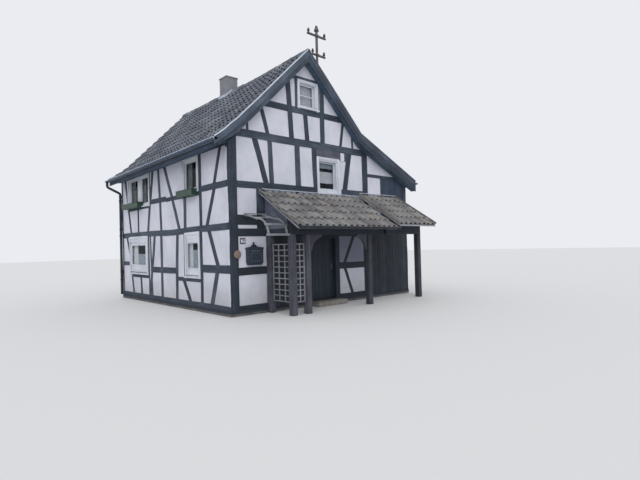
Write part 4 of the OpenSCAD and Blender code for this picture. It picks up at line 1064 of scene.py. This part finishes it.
# %% Ridge
ridge_r, ridge_thick, ridge_step, ridge_lap, ridge_bed = 0.088, 0.014, 0.36, 0.03, 0.068
starts = np.arange(roof_y0, roof_y1 - 0.1, ridge_step)
angle = np.linspace(math.radians(25), math.radians(155), 9)
skirt = np.array([(1.30, -0.70), (1.10, -0.2)])
half_round = np.concatenate([skirt, np.stack([np.cos(angle), np.sin(angle)], -1), skirt[::-1] * (-1, 1)])
section = np.concatenate([half_round * ridge_r, half_round[::-1] * (ridge_r - ridge_thick)])
ring_at, ring_size = np.array([0.0, 0.04, 0.05, 1.0]), np.array([1.0, 1.0, 0.93, 0.93])
places = np.minimum(starts[:, None] + ring_at * (ridge_step + ridge_lap), roof_y1)
rings = np.zeros((len(starts), len(ring_at), len(section), 3))
aside, raised = (rng.normal(0, spread, (len(starts), 1, 1)) for spread in (0.004, 0.005))
rings[..., 0] = ridge_x + section[:, 0] * ring_size[:, None] + aside
rings[..., 1] = places[..., None]
rings[..., 2] = ridge_z - ridge_bed + section[:, 1] * ring_size[:, None] + raised
piece("ridge_tile_row", bent(lofts(rings), settled), grey_tile, replaces=["ridge_tiles"], smooth=50)

bed = np.array([(-0.12, -0.175), (-0.05, -0.075), (0.05, -0.075), (0.12, -0.175)]) + (ridge_x, ridge_z)
piece("ridge_mortar", bent(pushed(bed, roof_y0 + 0.01, roof_y1 - 0.01, steps=24), settled), mortar)

# %% [markdown]
# Verges
#
# At the gable a board closes the ends of the tiles, and over it lies a folded strip of light
# sheet metal. Both are a small section carried up one slope of the roof.

# %% Verges
def verge_strip(xs, fold, face):
    """A fold of sheet metal or board along a verge: its (out, up) outline follows the roof."""
    xs, fold = np.asarray(xs, float), np.asarray(fold, float)
    rings = np.zeros((1, len(xs), len(fold), 3))
    rings[..., 0] = xs[:, None]
    rings[..., 1] = face + fold[:, 0]
    rings[..., 2] = roof_top(xs)[:, None] + fold[:, 1]
    return lofts(rings)


left_xs = [*np.linspace(eave_x - 0.01, 0.13, 5), *np.linspace(0.17, ridge_x - 0.01, 12)]
right_xs = [*np.linspace(ridge_x + 0.01, kink_x, 10), garden_eave_x - 0.005]
cap = [(0.0, -0.008), (0.004, -0.008), (0.004, 0.020), (0.035, 0.020), (0.035, 0.026), (0.0, 0.026)]
piece("left_verge_strip", bent(verge_strip(left_xs, cap, roof_y0 - 0.006), settled), white_strip_and_highlight)
edge_board = [(0.0, -0.185), (0.018, -0.185), (0.018, 0.020), (0.0, 0.020)]
edge_boards = joined([verge_strip(xs, edge_board, roof_y0 - 0.004) for xs in (left_xs, right_xs)])
piece("verge_edge_boards", bent(edge_boards, settled), verge_board)

# %% [markdown]
# Flashings and rakes
#
# Where the porch roofs meet the wall, a strip of light metal was dressed over the rolls of the
# tiles by hand, so its lower edge waves a little. Thin boards close both ends of each roof.

# %% Flashings and rakes
apron_w, apron_wave, apron_thick = 0.050, 0.008, 0.004
down = np.array([0, -1, -porch_slope]) / math.hypot(1, porch_slope)
aprons = []
for x_from, x_to, top in ((0.95, 4.62, 3.155), (4.56, 6.30, 3.255)):
    places = np.linspace(x_from, x_to, 30)
    droop = apron_w + apron_wave * np.sin(places * 2 * math.pi / 0.21)
    upper = np.stack([places, 0 * places - 0.004, 0 * places + top], -1)
    lower = upper + droop[:, None] * down
    thick = np.array([0, 0, apron_thick])
    aprons.append(lofts(np.stack([upper, upper + thick, lower + thick, lower], 1)[None]))
piece("porch_flashings", joined(aprons), strip_metal)
rakes = []
for x, up, high in ((0.853, 0.0, 0.020), (4.562, side_up, 0.075), (6.297, side_up, 0.05)):
    line = np.array([(x, porch_out - 0.005, porch_top(porch_out, up)), (x, 0.0, porch_top(0, up))])
    rakes.append(bars([line + (0, 0, 0.028 - high / 2)], [(0.014, high)], (1, 0, 0), 0.002))
piece("porch_rake_strips", joined(rakes), rake_board)

# %% [markdown]
# Fillets at the chimney
#
# Six strips of sheet seal the stack: two run up each slope to the ridge, and one lies along
# its foot on each side. They are flat bars that follow the roof's own line.

# %% Fillets at the chimney
stack_x0, stack_y0, stack_x1, stack_y1 = 2.275, 3.76, 2.705, 4.22
fillets = []
for y in (stack_y0 - 0.01, stack_y1 + 0.01):
    for x in (stack_x0 - 0.03, stack_x1 + 0.03):
        fillets.append([(x, y, float(roof_top(x))), (ridge_x, y, ridge_z - 0.02)])
for x in (stack_x0 - 0.01, stack_x1 + 0.01):
    fillets.append([(x, y, float(roof_top(x))) for y in (stack_y0 - 0.03, stack_y1 + 0.03)])
fillets = np.array(fillets) + (0, 0, 0.03)
piece("chimney_fillets", bent(bars(fillets, [(0.10, 0.07)], (0, 0, 1), 0.015), settled), strip_metal)

# %% [markdown]
# Gutters
#
# The gutter is half a tube with a rolled front edge, hung in strap brackets. Its section is an
# outer arc and an inner arc; the brackets are the same arc, a little larger and 30 mm long, and
# the rolled edge is a thin tube of its own, which on the street gutter is a painted highlight.

# %% Forms of a gutter
gutter_r, gutter_thick, cap_thick, cap_inner_r = 0.0605, 0.003, 0.003, 0.004
strap_w, strap_step = 0.03, 0.75


def trough(centre, ends, along, outer_r, inner_r):
    """Half a tube, open at the top, along X or Y through a centre (across, up)."""
    angle = np.linspace(math.pi, 2 * math.pi, 15)
    arc = np.stack([np.cos(angle), np.sin(angle)], -1)
    ring = np.concatenate([arc * outer_r, arc[::-1] * inner_r])
    return pushed(ring + centre, *ends, along)


def gutter(across, up, ends, along):
    """A gutter with end caps and strap brackets every 0.75 m."""
    centre = (across, up)
    parts = [trough(centre, ends, along, gutter_r, gutter_r - gutter_thick)]
    for end in (ends[0], ends[1] - cap_thick):
        parts.append(trough(centre, (end, end + cap_thick), along, gutter_r, cap_inner_r))
    for place in np.arange(ends[0] + 0.3, ends[1] - 0.1, strap_step):
        far = place + strap_w
        parts.append(trough(centre, (place, far), along, gutter_r + 0.0013, gutter_r - 0.001))
        low, high, under = across - gutter_r, across + gutter_r, up - 0.003
        span = (low, place, under, high, far, up) if along == "y" else (place, low, under, far, high, up)
        parts.append(boxes([span], 0.001))
    return joined(parts)


def bead(across, up, ends, along, front, radius):
    """The rolled front edge of a gutter, on its side of lower (-1) or higher (1) coordinates."""
    edge = across + front * (gutter_r + 0.0012 - radius)
    lip = [(edge, ends[0], up - 0.003), (edge, ends[1], up - 0.003)]
    return tube(lip if along == "y" else [(y, x, z) for x, y, z in lip], radius, 8)


gutter_lift = 0.046


def falling(points):
    """Tips the street gutter: 46 mm high at the gable and 13 mm lower with every metre."""
    points = np.array(points, float)
    points[:, 2] += gutter_lift - eave_fall * (points[:, 1] - roof_y0)
    return points


print("gutter", 2 * gutter_r, "m wide")

# %% The house's gutters
street_gutter = (-0.442, 4.187, (-0.20, 7.50), "y")
garden_gutter = (7.262, 3.730, (-0.20, 7.30), "y")
porch_gutter = (-1.632, 2.128, (0.85, 4.45), "x")
troughs = [bent(gutter(*street_gutter), falling), gutter(*garden_gutter)]
piece("gutter_troughs", joined(troughs), blue_zinc, replaces=["gutters"])
# The porch gutter takes the near black iron as painted shade, standing for the shadow under the porch eave.
piece("porch_gutter_trough", gutter(*porch_gutter), dark_iron, slot="blue_zinc")
end_cap = trough(street_gutter[:2], (-0.204, -0.2005), "y", gutter_r, cap_inner_r)
piece("street_gutter_end_cap", bent(end_cap, falling), strip_metal)
# The rolled edge's near white is a painted highlight: the light line along the street eave.
piece("street_gutter_bead", bent(bead(*street_gutter, -1, 0.011), falling), white_strip_and_highlight)
beads = joined([bead(*garden_gutter, 1, 0.009), bead(*porch_gutter, -1, 0.007)])
piece("other_gutter_beads", beads, mortar)

# %% [markdown]
# Downpipe
#
# The street gutter empties at the far corner. A swan neck brings the pipe back under the eaves
# to the wall, where it drops behind collars and iron straps to a hand above the ground.

# %% Downpipe
pipe_r, pipe_x, pipe_y = 0.043, -0.065, 7.24
neck = [(-0.442, 7.43, 4.12), (-0.442, 7.43, 3.97), (-0.435, 7.427, 3.93), (-0.40, 7.41, 3.895),
        (-0.11, 7.26, 3.715), (-0.075, 7.243, 3.685), (pipe_x, pipe_y, 3.63), (pipe_x, pipe_y, 0.13)]
collars = [tube([(pipe_x, pipe_y, z), (pipe_x, pipe_y, z + 0.06)], pipe_r + 0.005, 20)
           for z in (3.55, 2.4, 0.9)]
straps = boxes([(pipe_x - 0.05, pipe_y - 0.052, z, 0.0, pipe_y + 0.052, z + 0.025)
                for z in (0.63, 2.18, 3.42)], 0.002)
piece("downpipe_run", joined([tube(neck, pipe_r, 20), *collars, straps]), dark_iron, replaces=["downpipe"],
      slot="blue_zinc")

# %% [markdown]
# Windows
#
# A casement window is four things from outside to inside: a white casing that laps over the
# timbers and hides the joint, the deep reveal, the opening sashes with their glazing bars, and
# the glass. One function builds them for any wall. It measures across the wall (a), into it (d)
# and up (z), and only at the end turns those into X, Y and Z.

# %% Measures on a wall
def on_wall(wall, points):
    """Turns (a, d, z) into the corner's X, Y, Z for the street, gable or garden wall."""
    a, d, z = np.moveaxis(np.asarray(points, float), -1, 0)
    if wall == "street":
        return np.stack([d, a, z], -1)
    if wall == "gable":
        return np.stack([a, d, z], -1)
    return np.stack([total_w - d, a, z], -1)


def wall_boxes(wall, spans, edge=0.003):
    """Bars that fill (a, d, z, a, d, z) boxes on a wall."""
    spans = np.asarray(spans, float).reshape(-1, 2, 3)
    return boxes(on_wall(wall, spans).reshape(-1, 6), edge)


print("garden wall at X", total_w)

# %% The wood of a window
casing_lap, casing_in, face_out, set_back = 0.028, 0.047, 0.018, 0.012
stile, bar_half = 0.035, 0.013


def window_frame(opening, glasses, low, high, depth, rows=()):
    """Spans of a window's wood. glasses holds the two ends of every pane along the wall, low and
    high are the heights of wood under and over them, depth is how far back they stand, and rows
    are the shares of the height at which glazing bars lie."""
    a0, z0, a1, z1 = opening
    bottom, top, deep = z0 + low, z1 - high, depth + 0.03
    ends = [a0, *[end for pair in glasses for end in pair], a1]
    # The casing on three sides, a stepped head and sill, and the sill board that drips.
    spans = [(a0 - casing_lap, -face_out, z0 - casing_lap, a0 + casing_in, 0.006, z1 + casing_lap),
             (a1 - casing_in, -face_out, z0 - casing_lap, a1 + casing_lap, 0.006, z1 + casing_lap),
             (a0 - casing_lap, -face_out, z1 - casing_in, a1 + casing_lap, 0.007, z1 + casing_lap),
             (a0, 0.0, z1 - 0.5 * high - 0.03, a1, deep, z1), (a0, set_back, top, a1, deep, z1 - 0.02),
             (a0, 0.0, z0, a1, deep, z0 + 0.5 * low), (a0, set_back, z0 + 0.01, a1, deep, bottom),
             (a0 - casing_lap - 0.02, -0.045, z0 - 0.012, a1 + casing_lap + 0.02, 0.07, z0 + 0.022)]
    # Jambs at both ends, and between two panes a mullion that stands further back.
    for left, right in zip(ends[::2], ends[1::2]):
        front = 0.004 if left == a0 or right == a1 else set_back
        spans.append((left, front, bottom - 0.01, right, deep, top + 0.01))
    # A sash round each pane, with its glazing bars.
    near, far = depth - 0.018, depth + 0.022
    for left, right in glasses:
        spans += [(left, near, bottom, left + stile, far, top), (right - stile, near, bottom, right, far, top),
                  (left, near + 0.001, bottom, right, far - 0.001, bottom + stile),
                  (left, near + 0.001, top - stile, right, far - 0.001, top)]
        for share in rows:
            level = bottom + (top - bottom) * share
            spans.append((left, near + 0.004, level - bar_half, right, far - 0.004, level + bar_half))
    return spans


print("stiles", stile, "m")

# %% The nine windows
# Name, wall, opening (a0, z0, a1, z1), ends of each pane, wood under and over the panes, depth of
# the glass, heights of the glazing bars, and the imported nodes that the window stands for.
windows = [
    ("street_low_near", "street", (1.54, 0.88, 2.35, 2.10), [(1.60, 2.30)],
     0.23, 0.25, 0.030, (), ["street_windows"]),
    ("street_low_far", "street", (5.02, 0.88, 6.56, 2.10), [(5.20, 6.48)],
     0.28, 0.24, 0.030, (), []),
    ("street_high_near", "street", (1.54, 3.20, 2.37, 4.15), [(1.60, 2.33)],
     0.08, 0.10, 0.050, (), []),
    ("street_high_far", "street", (4.80, 3.08, 6.63, 4.15), [(4.90, 5.50), (5.79, 6.47)],
     0.08, 0.12, 0.045, (), []),
    ("gable_high", "gable", (2.90, 3.14, 3.71, 4.15), [(2.975, 3.63)],
     0.13, 0.09, 0.115, (), ["gable_windows"]),
    ("gable_attic", "gable", (2.24, 5.41, 2.935, 6.165), [(2.30, 2.87)],
     0.078, 0.055, 0.110, (0.5,), []),
    ("garden_low_near", "garden", (1.63, 1.12, 2.70, 1.90), [(1.69, 2.13), (2.20, 2.64)],
     0.07, 0.07, 0.10, (0.5,), ["garden_windows"]),
    ("garden_low_far", "garden", (4.43, 1.12, 5.50, 1.90), [(4.49, 4.93), (5.00, 5.44)],
     0.07, 0.07, 0.10, (0.5,), []),
    ("garden_high", "garden", (2.83, 2.62, 3.80, 3.20), [(2.89, 3.28), (3.35, 3.74)],
     0.07, 0.07, 0.10, (), []),
]
pane_edge = 0.02
panes = []
for name, wall, opening, glasses, low, high, depth, rows, nodes in windows:
    skin = bent(wall_boxes(wall, window_frame(opening, glasses, low, high, depth, rows)))
    piece(name + "_window", skin, white_paint, replaces=nodes)
    bottom, top = opening[1] + low + pane_edge, opening[3] - high - pane_edge
    panes += [(wall, (left + pane_edge, depth - 0.002, bottom, right - pane_edge, depth + 0.003, top))
              for left, right in glasses]

# %% [markdown]
# Glass, and the wall beside the windows
#
# All panes are one piece, because each is only a thin box. Where a window didn't fill its gap
# in the frame, the carpenter packed it with wood or the plasterer closed it, and under the
# lower street windows thin slots let air through the casing.

# %% Glass, and the wall beside the windows
glass = joined([wall_boxes(wall, [span], 0.0005) for wall, span in panes])
piece("window_glass_panes", bent(glass), window_glass, replaces=["window_panes"])
reveal = [(3.70, 0.003, 3.135, 3.815, 0.15, 4.155), (3.80, -0.008, 4.14, 3.955, 0.004, 4.372)]
piece("gable_window_reveal", bent(wall_boxes("gable", reveal)), white_plaster)
packing = [(2.93, -0.004, 5.405, 3.005, 0.15, 6.17)]
piece("attic_window_packing", bent(wall_boxes("gable", packing)), black_timber)
lintel = [(2.862, -0.014, 4.165, 3.80, 0.0, 4.375)]
piece("gable_window_lintel", bent(wall_boxes("gable", lintel, 0.006)), rubbed_timber)
vents = [wall_boxes("street", [(a0 + 0.03, -0.0195, z0 + 0.052, a1 - 0.03, -0.0165, z0 + 0.066)], 0.0005)
         for a0, z0, a1 in ((1.54, 0.88, 2.35), (5.02, 0.88, 6.56))]
piece("window_vent_slots", bent(joined(vents)), dark_iron)

# %% [markdown]
# Curtains
#
# Cloth gathered on a rod falls in folds that are narrow at the top and open below. The surface
# is the rod's line moved in and out by a sine whose depth grows downwards.

# %% Woven cloth
def cloth(name, dark, light, scale=5, detail=3, rough=0.5):
    """Woven cloth in two near tones. Its threads are too fine to show, so 400 waves a metre of
    relief, 0.4 mm deep, stand for them."""
    material, shader = paint(name, 0.9)
    place = add(material, "place")
    tones = add(material, "noise", place, scale, detail, rough)
    colour = add(material, "ramp", tones, stops=((0.3, dark), (0.7, light)))
    finish(material, shader, colour, add(material, "noise", place, 400, 2, 0.5), 0.0004)
    return material


# Washed cotton; cotton made paler as painted light, which lifts the blinds out of the shade behind
# the panes; net that lets the dark room through; and a heavy grey-green.
plain_cloth = cloth("curtain_cloth", "#c3c8d2", "#dde0e8", 4)
lightened_blind_cloth = cloth("lightened_blind_cloth", "#dde1e9", "#eff1f5")
net_cloth = cloth("net_curtain_cloth", "#94a1ad", "#b4bfca", 9, 4, 0.6)
dark_cloth = cloth("dark_curtain_cloth", "#606a6e", "#7e888b")
print("cloths 4")

# %% Curtains
fold_points, drop_points, fold_depth = 10, 13, 0.010


def curtain(name, wall, a0, a1, z0, z1, folds, material, window, depth):
    """A gathered curtain: at (u, v) it lies 10 mm * (0.4 + 0.6 v) * sin(2 pi folds u + sway v)
    from its line, with v from 0 at the rod to 1 at the hem. A slower sine of u makes the folds
    uneven."""
    u, v = np.meshgrid(np.linspace(0, 1, folds * fold_points + 1), np.linspace(0, 1, drop_points))
    sway = rng.uniform(-0.6, 0.6)
    fold = np.sin(2 * math.pi * folds * u + sway * v + 0.5 * np.sin(2 * math.pi * u * 1.7))
    d = depth + fold_depth * (0.4 + 0.6 * v) * fold
    points = on_wall(wall, np.stack([a0 + (a1 - a0) * u, d, z1 + (z0 - z1) * v], -1))
    points = hand_made(points.reshape(-1, 3)).reshape(points.shape)
    rows, columns = u.shape
    index = np.arange(rows * columns).reshape(rows, columns)
    quads = np.stack([index[:-1, :-1], index[:-1, 1:], index[1:, 1:], index[1:, :-1]], -1).reshape(-1, 4)
    verts = points.reshape(-1, 3)
    grain = np.concatenate([verts, 0 * verts[:, :1]], 1)
    made = piece(name, (verts, quads.tolist(), grain), material)


# Name, wall, its two ends, hem, rod, folds, cloth, window, and depth behind the wall's face.
hangings = [
    ("low_near_blind", "street", 2.08, 2.33, 1.08, 1.90, 3, lightened_blind_cloth, "street_low_near", 0.095),
    ("low_near_curtain", "street", 1.60, 2.07, 1.08, 1.63, 5, net_cloth, "street_low_near", 0.095),
    ("low_far_blind", "street", 6.08, 6.52, 1.14, 1.90, 4, lightened_blind_cloth, "street_low_far", 0.095),
    ("low_far_curtain", "street", 5.22, 6.06, 1.14, 1.55, 8, net_cloth, "street_low_far", 0.095),
    ("high_near_curtain", "street", 2.06, 2.34, 3.24, 4.12, 4, dark_cloth, "street_high_near", 0.110),
    ("high_near_side_curtain", "street", 1.61, 1.88, 3.24, 4.12, 4, dark_cloth, "street_high_near", 0.110),
    ("high_far_left_curtain", "street", 5.30, 5.66, 3.14, 4.10, 5, dark_cloth, "street_high_far", 0.110),
    ("high_far_right_curtain", "street", 6.18, 6.56, 3.14, 4.10, 5, dark_cloth, "street_high_far", 0.110),
    ("gable_high_curtain", "gable", 2.98, 3.74, 3.47, 3.80, 9, plain_cloth, "gable_high", 0.175),
    ("gable_high_pelmet", "gable", 2.98, 3.74, 3.90, 4.03, 12, net_cloth, "gable_high", 0.175),
    ("attic_curtain", "gable", 2.30, 2.90, 5.46, 6.11, 8, plain_cloth, "gable_attic", 0.175),
]
for row in hangings:
    curtain(*row)

# %% [markdown]
# Front door
#
# The door is boards side by side with an open joint between them, nailed to ledges at the back.
# Strap hinges hold it to the post, so all of it turns with the body called door.

# %% Front door
leaf_x0, leaf_y0, leaf_z0, leaf_x1, leaf_y1, leaf_z1 = 2.613, 0.108, 0.165, 3.507, 0.156, 1.877
board_count, board_gap, board_back, ledge_high = 6, 0.003, leaf_y0 + 0.026, 0.12
pitch = (leaf_x1 - leaf_x0 + board_gap) / board_count
boards = [(leaf_x0 + i * pitch, leaf_y0, leaf_z0, leaf_x0 + (i + 1) * pitch - board_gap, board_back, leaf_z1)
          for i in range(board_count)]
ledges = [(leaf_x0, board_back, z, leaf_x1, leaf_y1, z + ledge_high) for z in (0.33, 0.95, 1.60)]
piece("front_door_boards", joined([boxes(boards, 0.003), boxes(ledges, 0.005)]), green_paint, DOOR,
      replaces=["front_door"])

# %% Hinges and latch
ironwork = []
for z in (0.405, 1.587):
    ironwork.append(boxes([(2.60, 0.1565, z + 0.004, 3.013, 0.1625, z + 0.046)], 0.001))
    ironwork.append(tube([(2.59, 0.176, z + 0.002), (2.59, 0.176, z + 0.048)], 0.0125, 16))
ironwork.append(boxes([(3.40, 0.101, 0.98, 3.45, 0.108, 1.16)], 0.002))
handle = [(3.425, 0.108, 1.09), (3.425, 0.066, 1.09), (3.418, 0.056, 1.088), (3.335, 0.056, 1.083)]
ironwork.append(tube(handle, 0.009, 12))
piece("front_door_ironwork", joined(ironwork), grey_metal, DOOR)

# %% [markdown]
# Mast
#
# The service mast on the roof is a steel tube with two cross arms. Its porcelain insulators are
# turned bodies whose sheds throw the rain off, so one profile of radius over height makes them.

# %% Mast
mast_x, mast_y, mast_top, mast_r = 3.34, 0.40, 8.18, 0.038
head = turned([(0.0, 0.0), (0.026, -0.004), (0.036, -0.015), (0.042, -0.06), (0.070, -0.13), (0.070, -0.165),
               (0.0, -0.165)], (mast_x, mast_y, mast_top))
collar = turned([(0.0, 0.16), (0.045, 0.16), (0.048, 0.12), (0.085, -0.02), (0.12, -0.12), (0.0, -0.12)],
                (mast_x, mast_y, float(roof_top(mast_x))))
arms = boxes([(mast_x - 0.36, mast_y - 0.025, 7.85, mast_x + 0.36, mast_y + 0.025, 7.90),
              (mast_x - 0.21, mast_y - 0.025, 7.28, mast_x + 0.33, mast_y + 0.025, 7.33),
              (mast_x - 0.06, mast_y - 0.047, 7.845, mast_x + 0.06, mast_y - 0.025, 7.905),
              (mast_x - 0.06, mast_y - 0.047, 7.275, mast_x + 0.06, mast_y - 0.025, 7.335)], 0.003)
pole = tube([(mast_x, mast_y, z) for z in (4.57, 6.5, mast_top - 0.09)], mast_r, 24)
piece("mast_tube_and_arms", joined([pole, head, collar, arms]), grey_metal, replaces=["roof_mast"])
shed = [(0.0, 0.0), (0.018, 0.0), (0.018, 0.03), (0.042, 0.036), (0.040, 0.052), (0.022, 0.062),
        (0.022, 0.070), (0.038, 0.078), (0.035, 0.092), (0.018, 0.102), (0.024, 0.112), (0.020, 0.128),
        (0.0, 0.13)]
seats = [(3.025, 7.90), (3.655, 7.90), (3.175, 7.33), (3.625, 7.33)]
insulators = joined([turned(shed, (x, mast_y, z), points=20) for x, z in seats])
piece("mast_insulator_bodies", insulators, brown_porcelain, replaces=["mast_insulators"])

# %% [markdown]
# Letter box
#
# A cast case with a pitched lid and a knob on top. Its outline is a rectangle that changes from
# height to height, so the case and the lid are rings of four corners, one over the other. The
# mouldings round its slot and its little panel are bars on the front.

# %% Letter box
def stepped(rings):
    """Skin of a box whose outline changes with height: rings are (x0, y0, x1, y1, z)."""
    x0, y0, x1, y1, z = np.array(rings, float).T
    corners = [(x0, y0, z), (x1, y0, z), (x1, y1, z), (x0, y1, z)]
    return lofts(np.array(corners).transpose(2, 0, 1)[None])


box_front = -0.121
case = stepped([(0.475, -0.105, 0.855, 0.012, 1.226), (0.470, -0.110, 0.860, 0.012, 1.262),
                (0.452, -0.122, 0.878, 0.012, 1.268), (0.448, -0.122, 0.882, 0.012, 1.625)])
lid = stepped([(0.430, -0.130, 0.900, 0.012, 1.622), (0.430, -0.130, 0.900, 0.012, 1.648),
               (0.450, -0.118, 0.880, 0.012, 1.662), (0.590, -0.075, 0.740, 0.012, 1.682),
               (0.622, -0.060, 0.708, 0.006, 1.722), (0.640, -0.045, 0.690, 0.0, 1.735)])
knob = turned([(0.0, 0.0), (0.020, 0.0), (0.014, 0.012), (0.028, 0.026), (0.028, 0.038), (0.010, 0.060),
               (0.0, 0.076)], (0.665, -0.024, 1.73), points=20)
mouldings = boxes([(x0, y, z0, x1, box_front, z1) for x0, y, z0, x1, z1 in (
    (0.505, -0.128, 1.315, 0.825, 1.330), (0.505, -0.128, 1.505, 0.825, 1.520),
    (0.505, -0.1278, 1.329, 0.520, 1.506), (0.810, -0.1278, 1.329, 0.825, 1.506),
    (0.530, -0.1285, 1.555, 0.800, 1.590), (0.655, -0.129, 1.400, 0.675, 1.420))], 0.002)
piece("letter_box_case", joined([case, lid, knob]), box_metal, replaces=["letter_box"])
piece("letter_box_mouldings", mouldings, grey_metal)

# %% [markdown]
# Number plate
#
# An enamelled plate with a dark edge. The digit on it is a plain made-up one: two flat strokes.

# %% Number plate
piece("number_plate_frame", boxes([(0.285, 0.002, 1.75, 0.445, 0.012, 1.90)], 0.003), plate_edge,
      replaces=["number_plate"])
piece("number_plate_face", boxes([(0.311, -0.002, 1.776, 0.419, 0.004, 1.874)], 0.002), pale_enamel)
top_stroke = boxes([(0.333, -0.004, 1.846, 0.399, -0.001, 1.864)], 0.001)
leaning = [(0.389, -0.0025, 1.850), (0.355, -0.0025, 1.786)]
digit = joined([top_stroke, bars([leaning], [(0.003, 0.018)], (0, 1, 0), 0.0005)])
piece("number_plate_digit", digit, plate_edge)

# %% [markdown]
# Log slice
#
# A disc sawn from a trunk, with its bark on. The year rings are a sine of the distance from the
# heart, which a noise makes uneven; the same distance tells where the bark begins.

# %% Log slice

cut_log, shader = paint("cut_log", 0.85)
place = add(cut_log, "place")
heart = tuple(np.array([0.19, -0.03, 1.50]) + home)
year_waves = 900
from_heart = add(cut_log, "vector", place, heart, operation="SUBTRACT")
flat = add(cut_log, "vector", from_heart, (1, 0, 1), operation="MULTIPLY")
radius = add(cut_log, "length", flat, operation="LENGTH")
wobble = add(cut_log, "MULTIPLY", add(cut_log, "noise", place, 12, 3, 0.55), 0.02)
years = add(cut_log, "SINE", add(cut_log, "MULTIPLY", add(cut_log, "ADD", radius, wobble), year_waves))
face = add(cut_log, "ramp", add(cut_log, "MULTIPLY_ADD", years, 0.25, 0.5),
           stops=((0.25, "#75645b"), (0.75, "#97867b")))
bark = add(cut_log, "ramp", radius, stops=((0.093, black), (0.098, white)))
finish(cut_log, shader, add(cut_log, "mix", bark, face, "#4a3a2e"), years, 0.0006)
disc = turned([(0.0, -0.03), (0.098, -0.03), (0.104, -0.026), (0.105, -0.012), (0.103, 0.0), (0.0, 0.0)],
              (0.19, 0.0, 1.50), axis=1, points=40)
piece("log_slice_disc", disc, cut_log, replaces=["log_slice"])

# %% [markdown]
# Flower troughs
#
# Two moulded troughs hang under the upper street windows. A rolled rim stiffens each, and they
# are filled with bare potting soil.

# %% Flower troughs
soil = mottled("potting_soil", "#2c2620", "#463c32", 30, 200, 0.006, 0.95)
troughs = dressed("flower_boxes")
rims, earth = [], []
for y0, y1, z in ((1.54, 2.48, 3.09), (5.34, 6.70, 3.07)):
    top, under = z + 0.17, z + 0.17 - 0.022
    rims += [(-0.196, y0 - 0.006, under, -0.178, y1 + 0.006, top + 0.002),
             (-0.012, y0 - 0.006, under, -0.001, y1 + 0.006, top + 0.002),
             (-0.190, y0 - 0.006, under, 0.0, y0 + 0.012, top + 0.001),
             (-0.190, y1 - 0.012, under, 0.0, y1 + 0.006, top + 0.001)]
    earth.append((-0.180, y0 + 0.010, z + 0.10, -0.010, y1 - 0.010, z + 0.135))
piece("flower_trough_shells", joined([troughs, boxes(rims, 0.003)]), trough_plastic, replaces=["flower_boxes"])
piece("flower_trough_soil", boxes(earth, 0.006), soil)
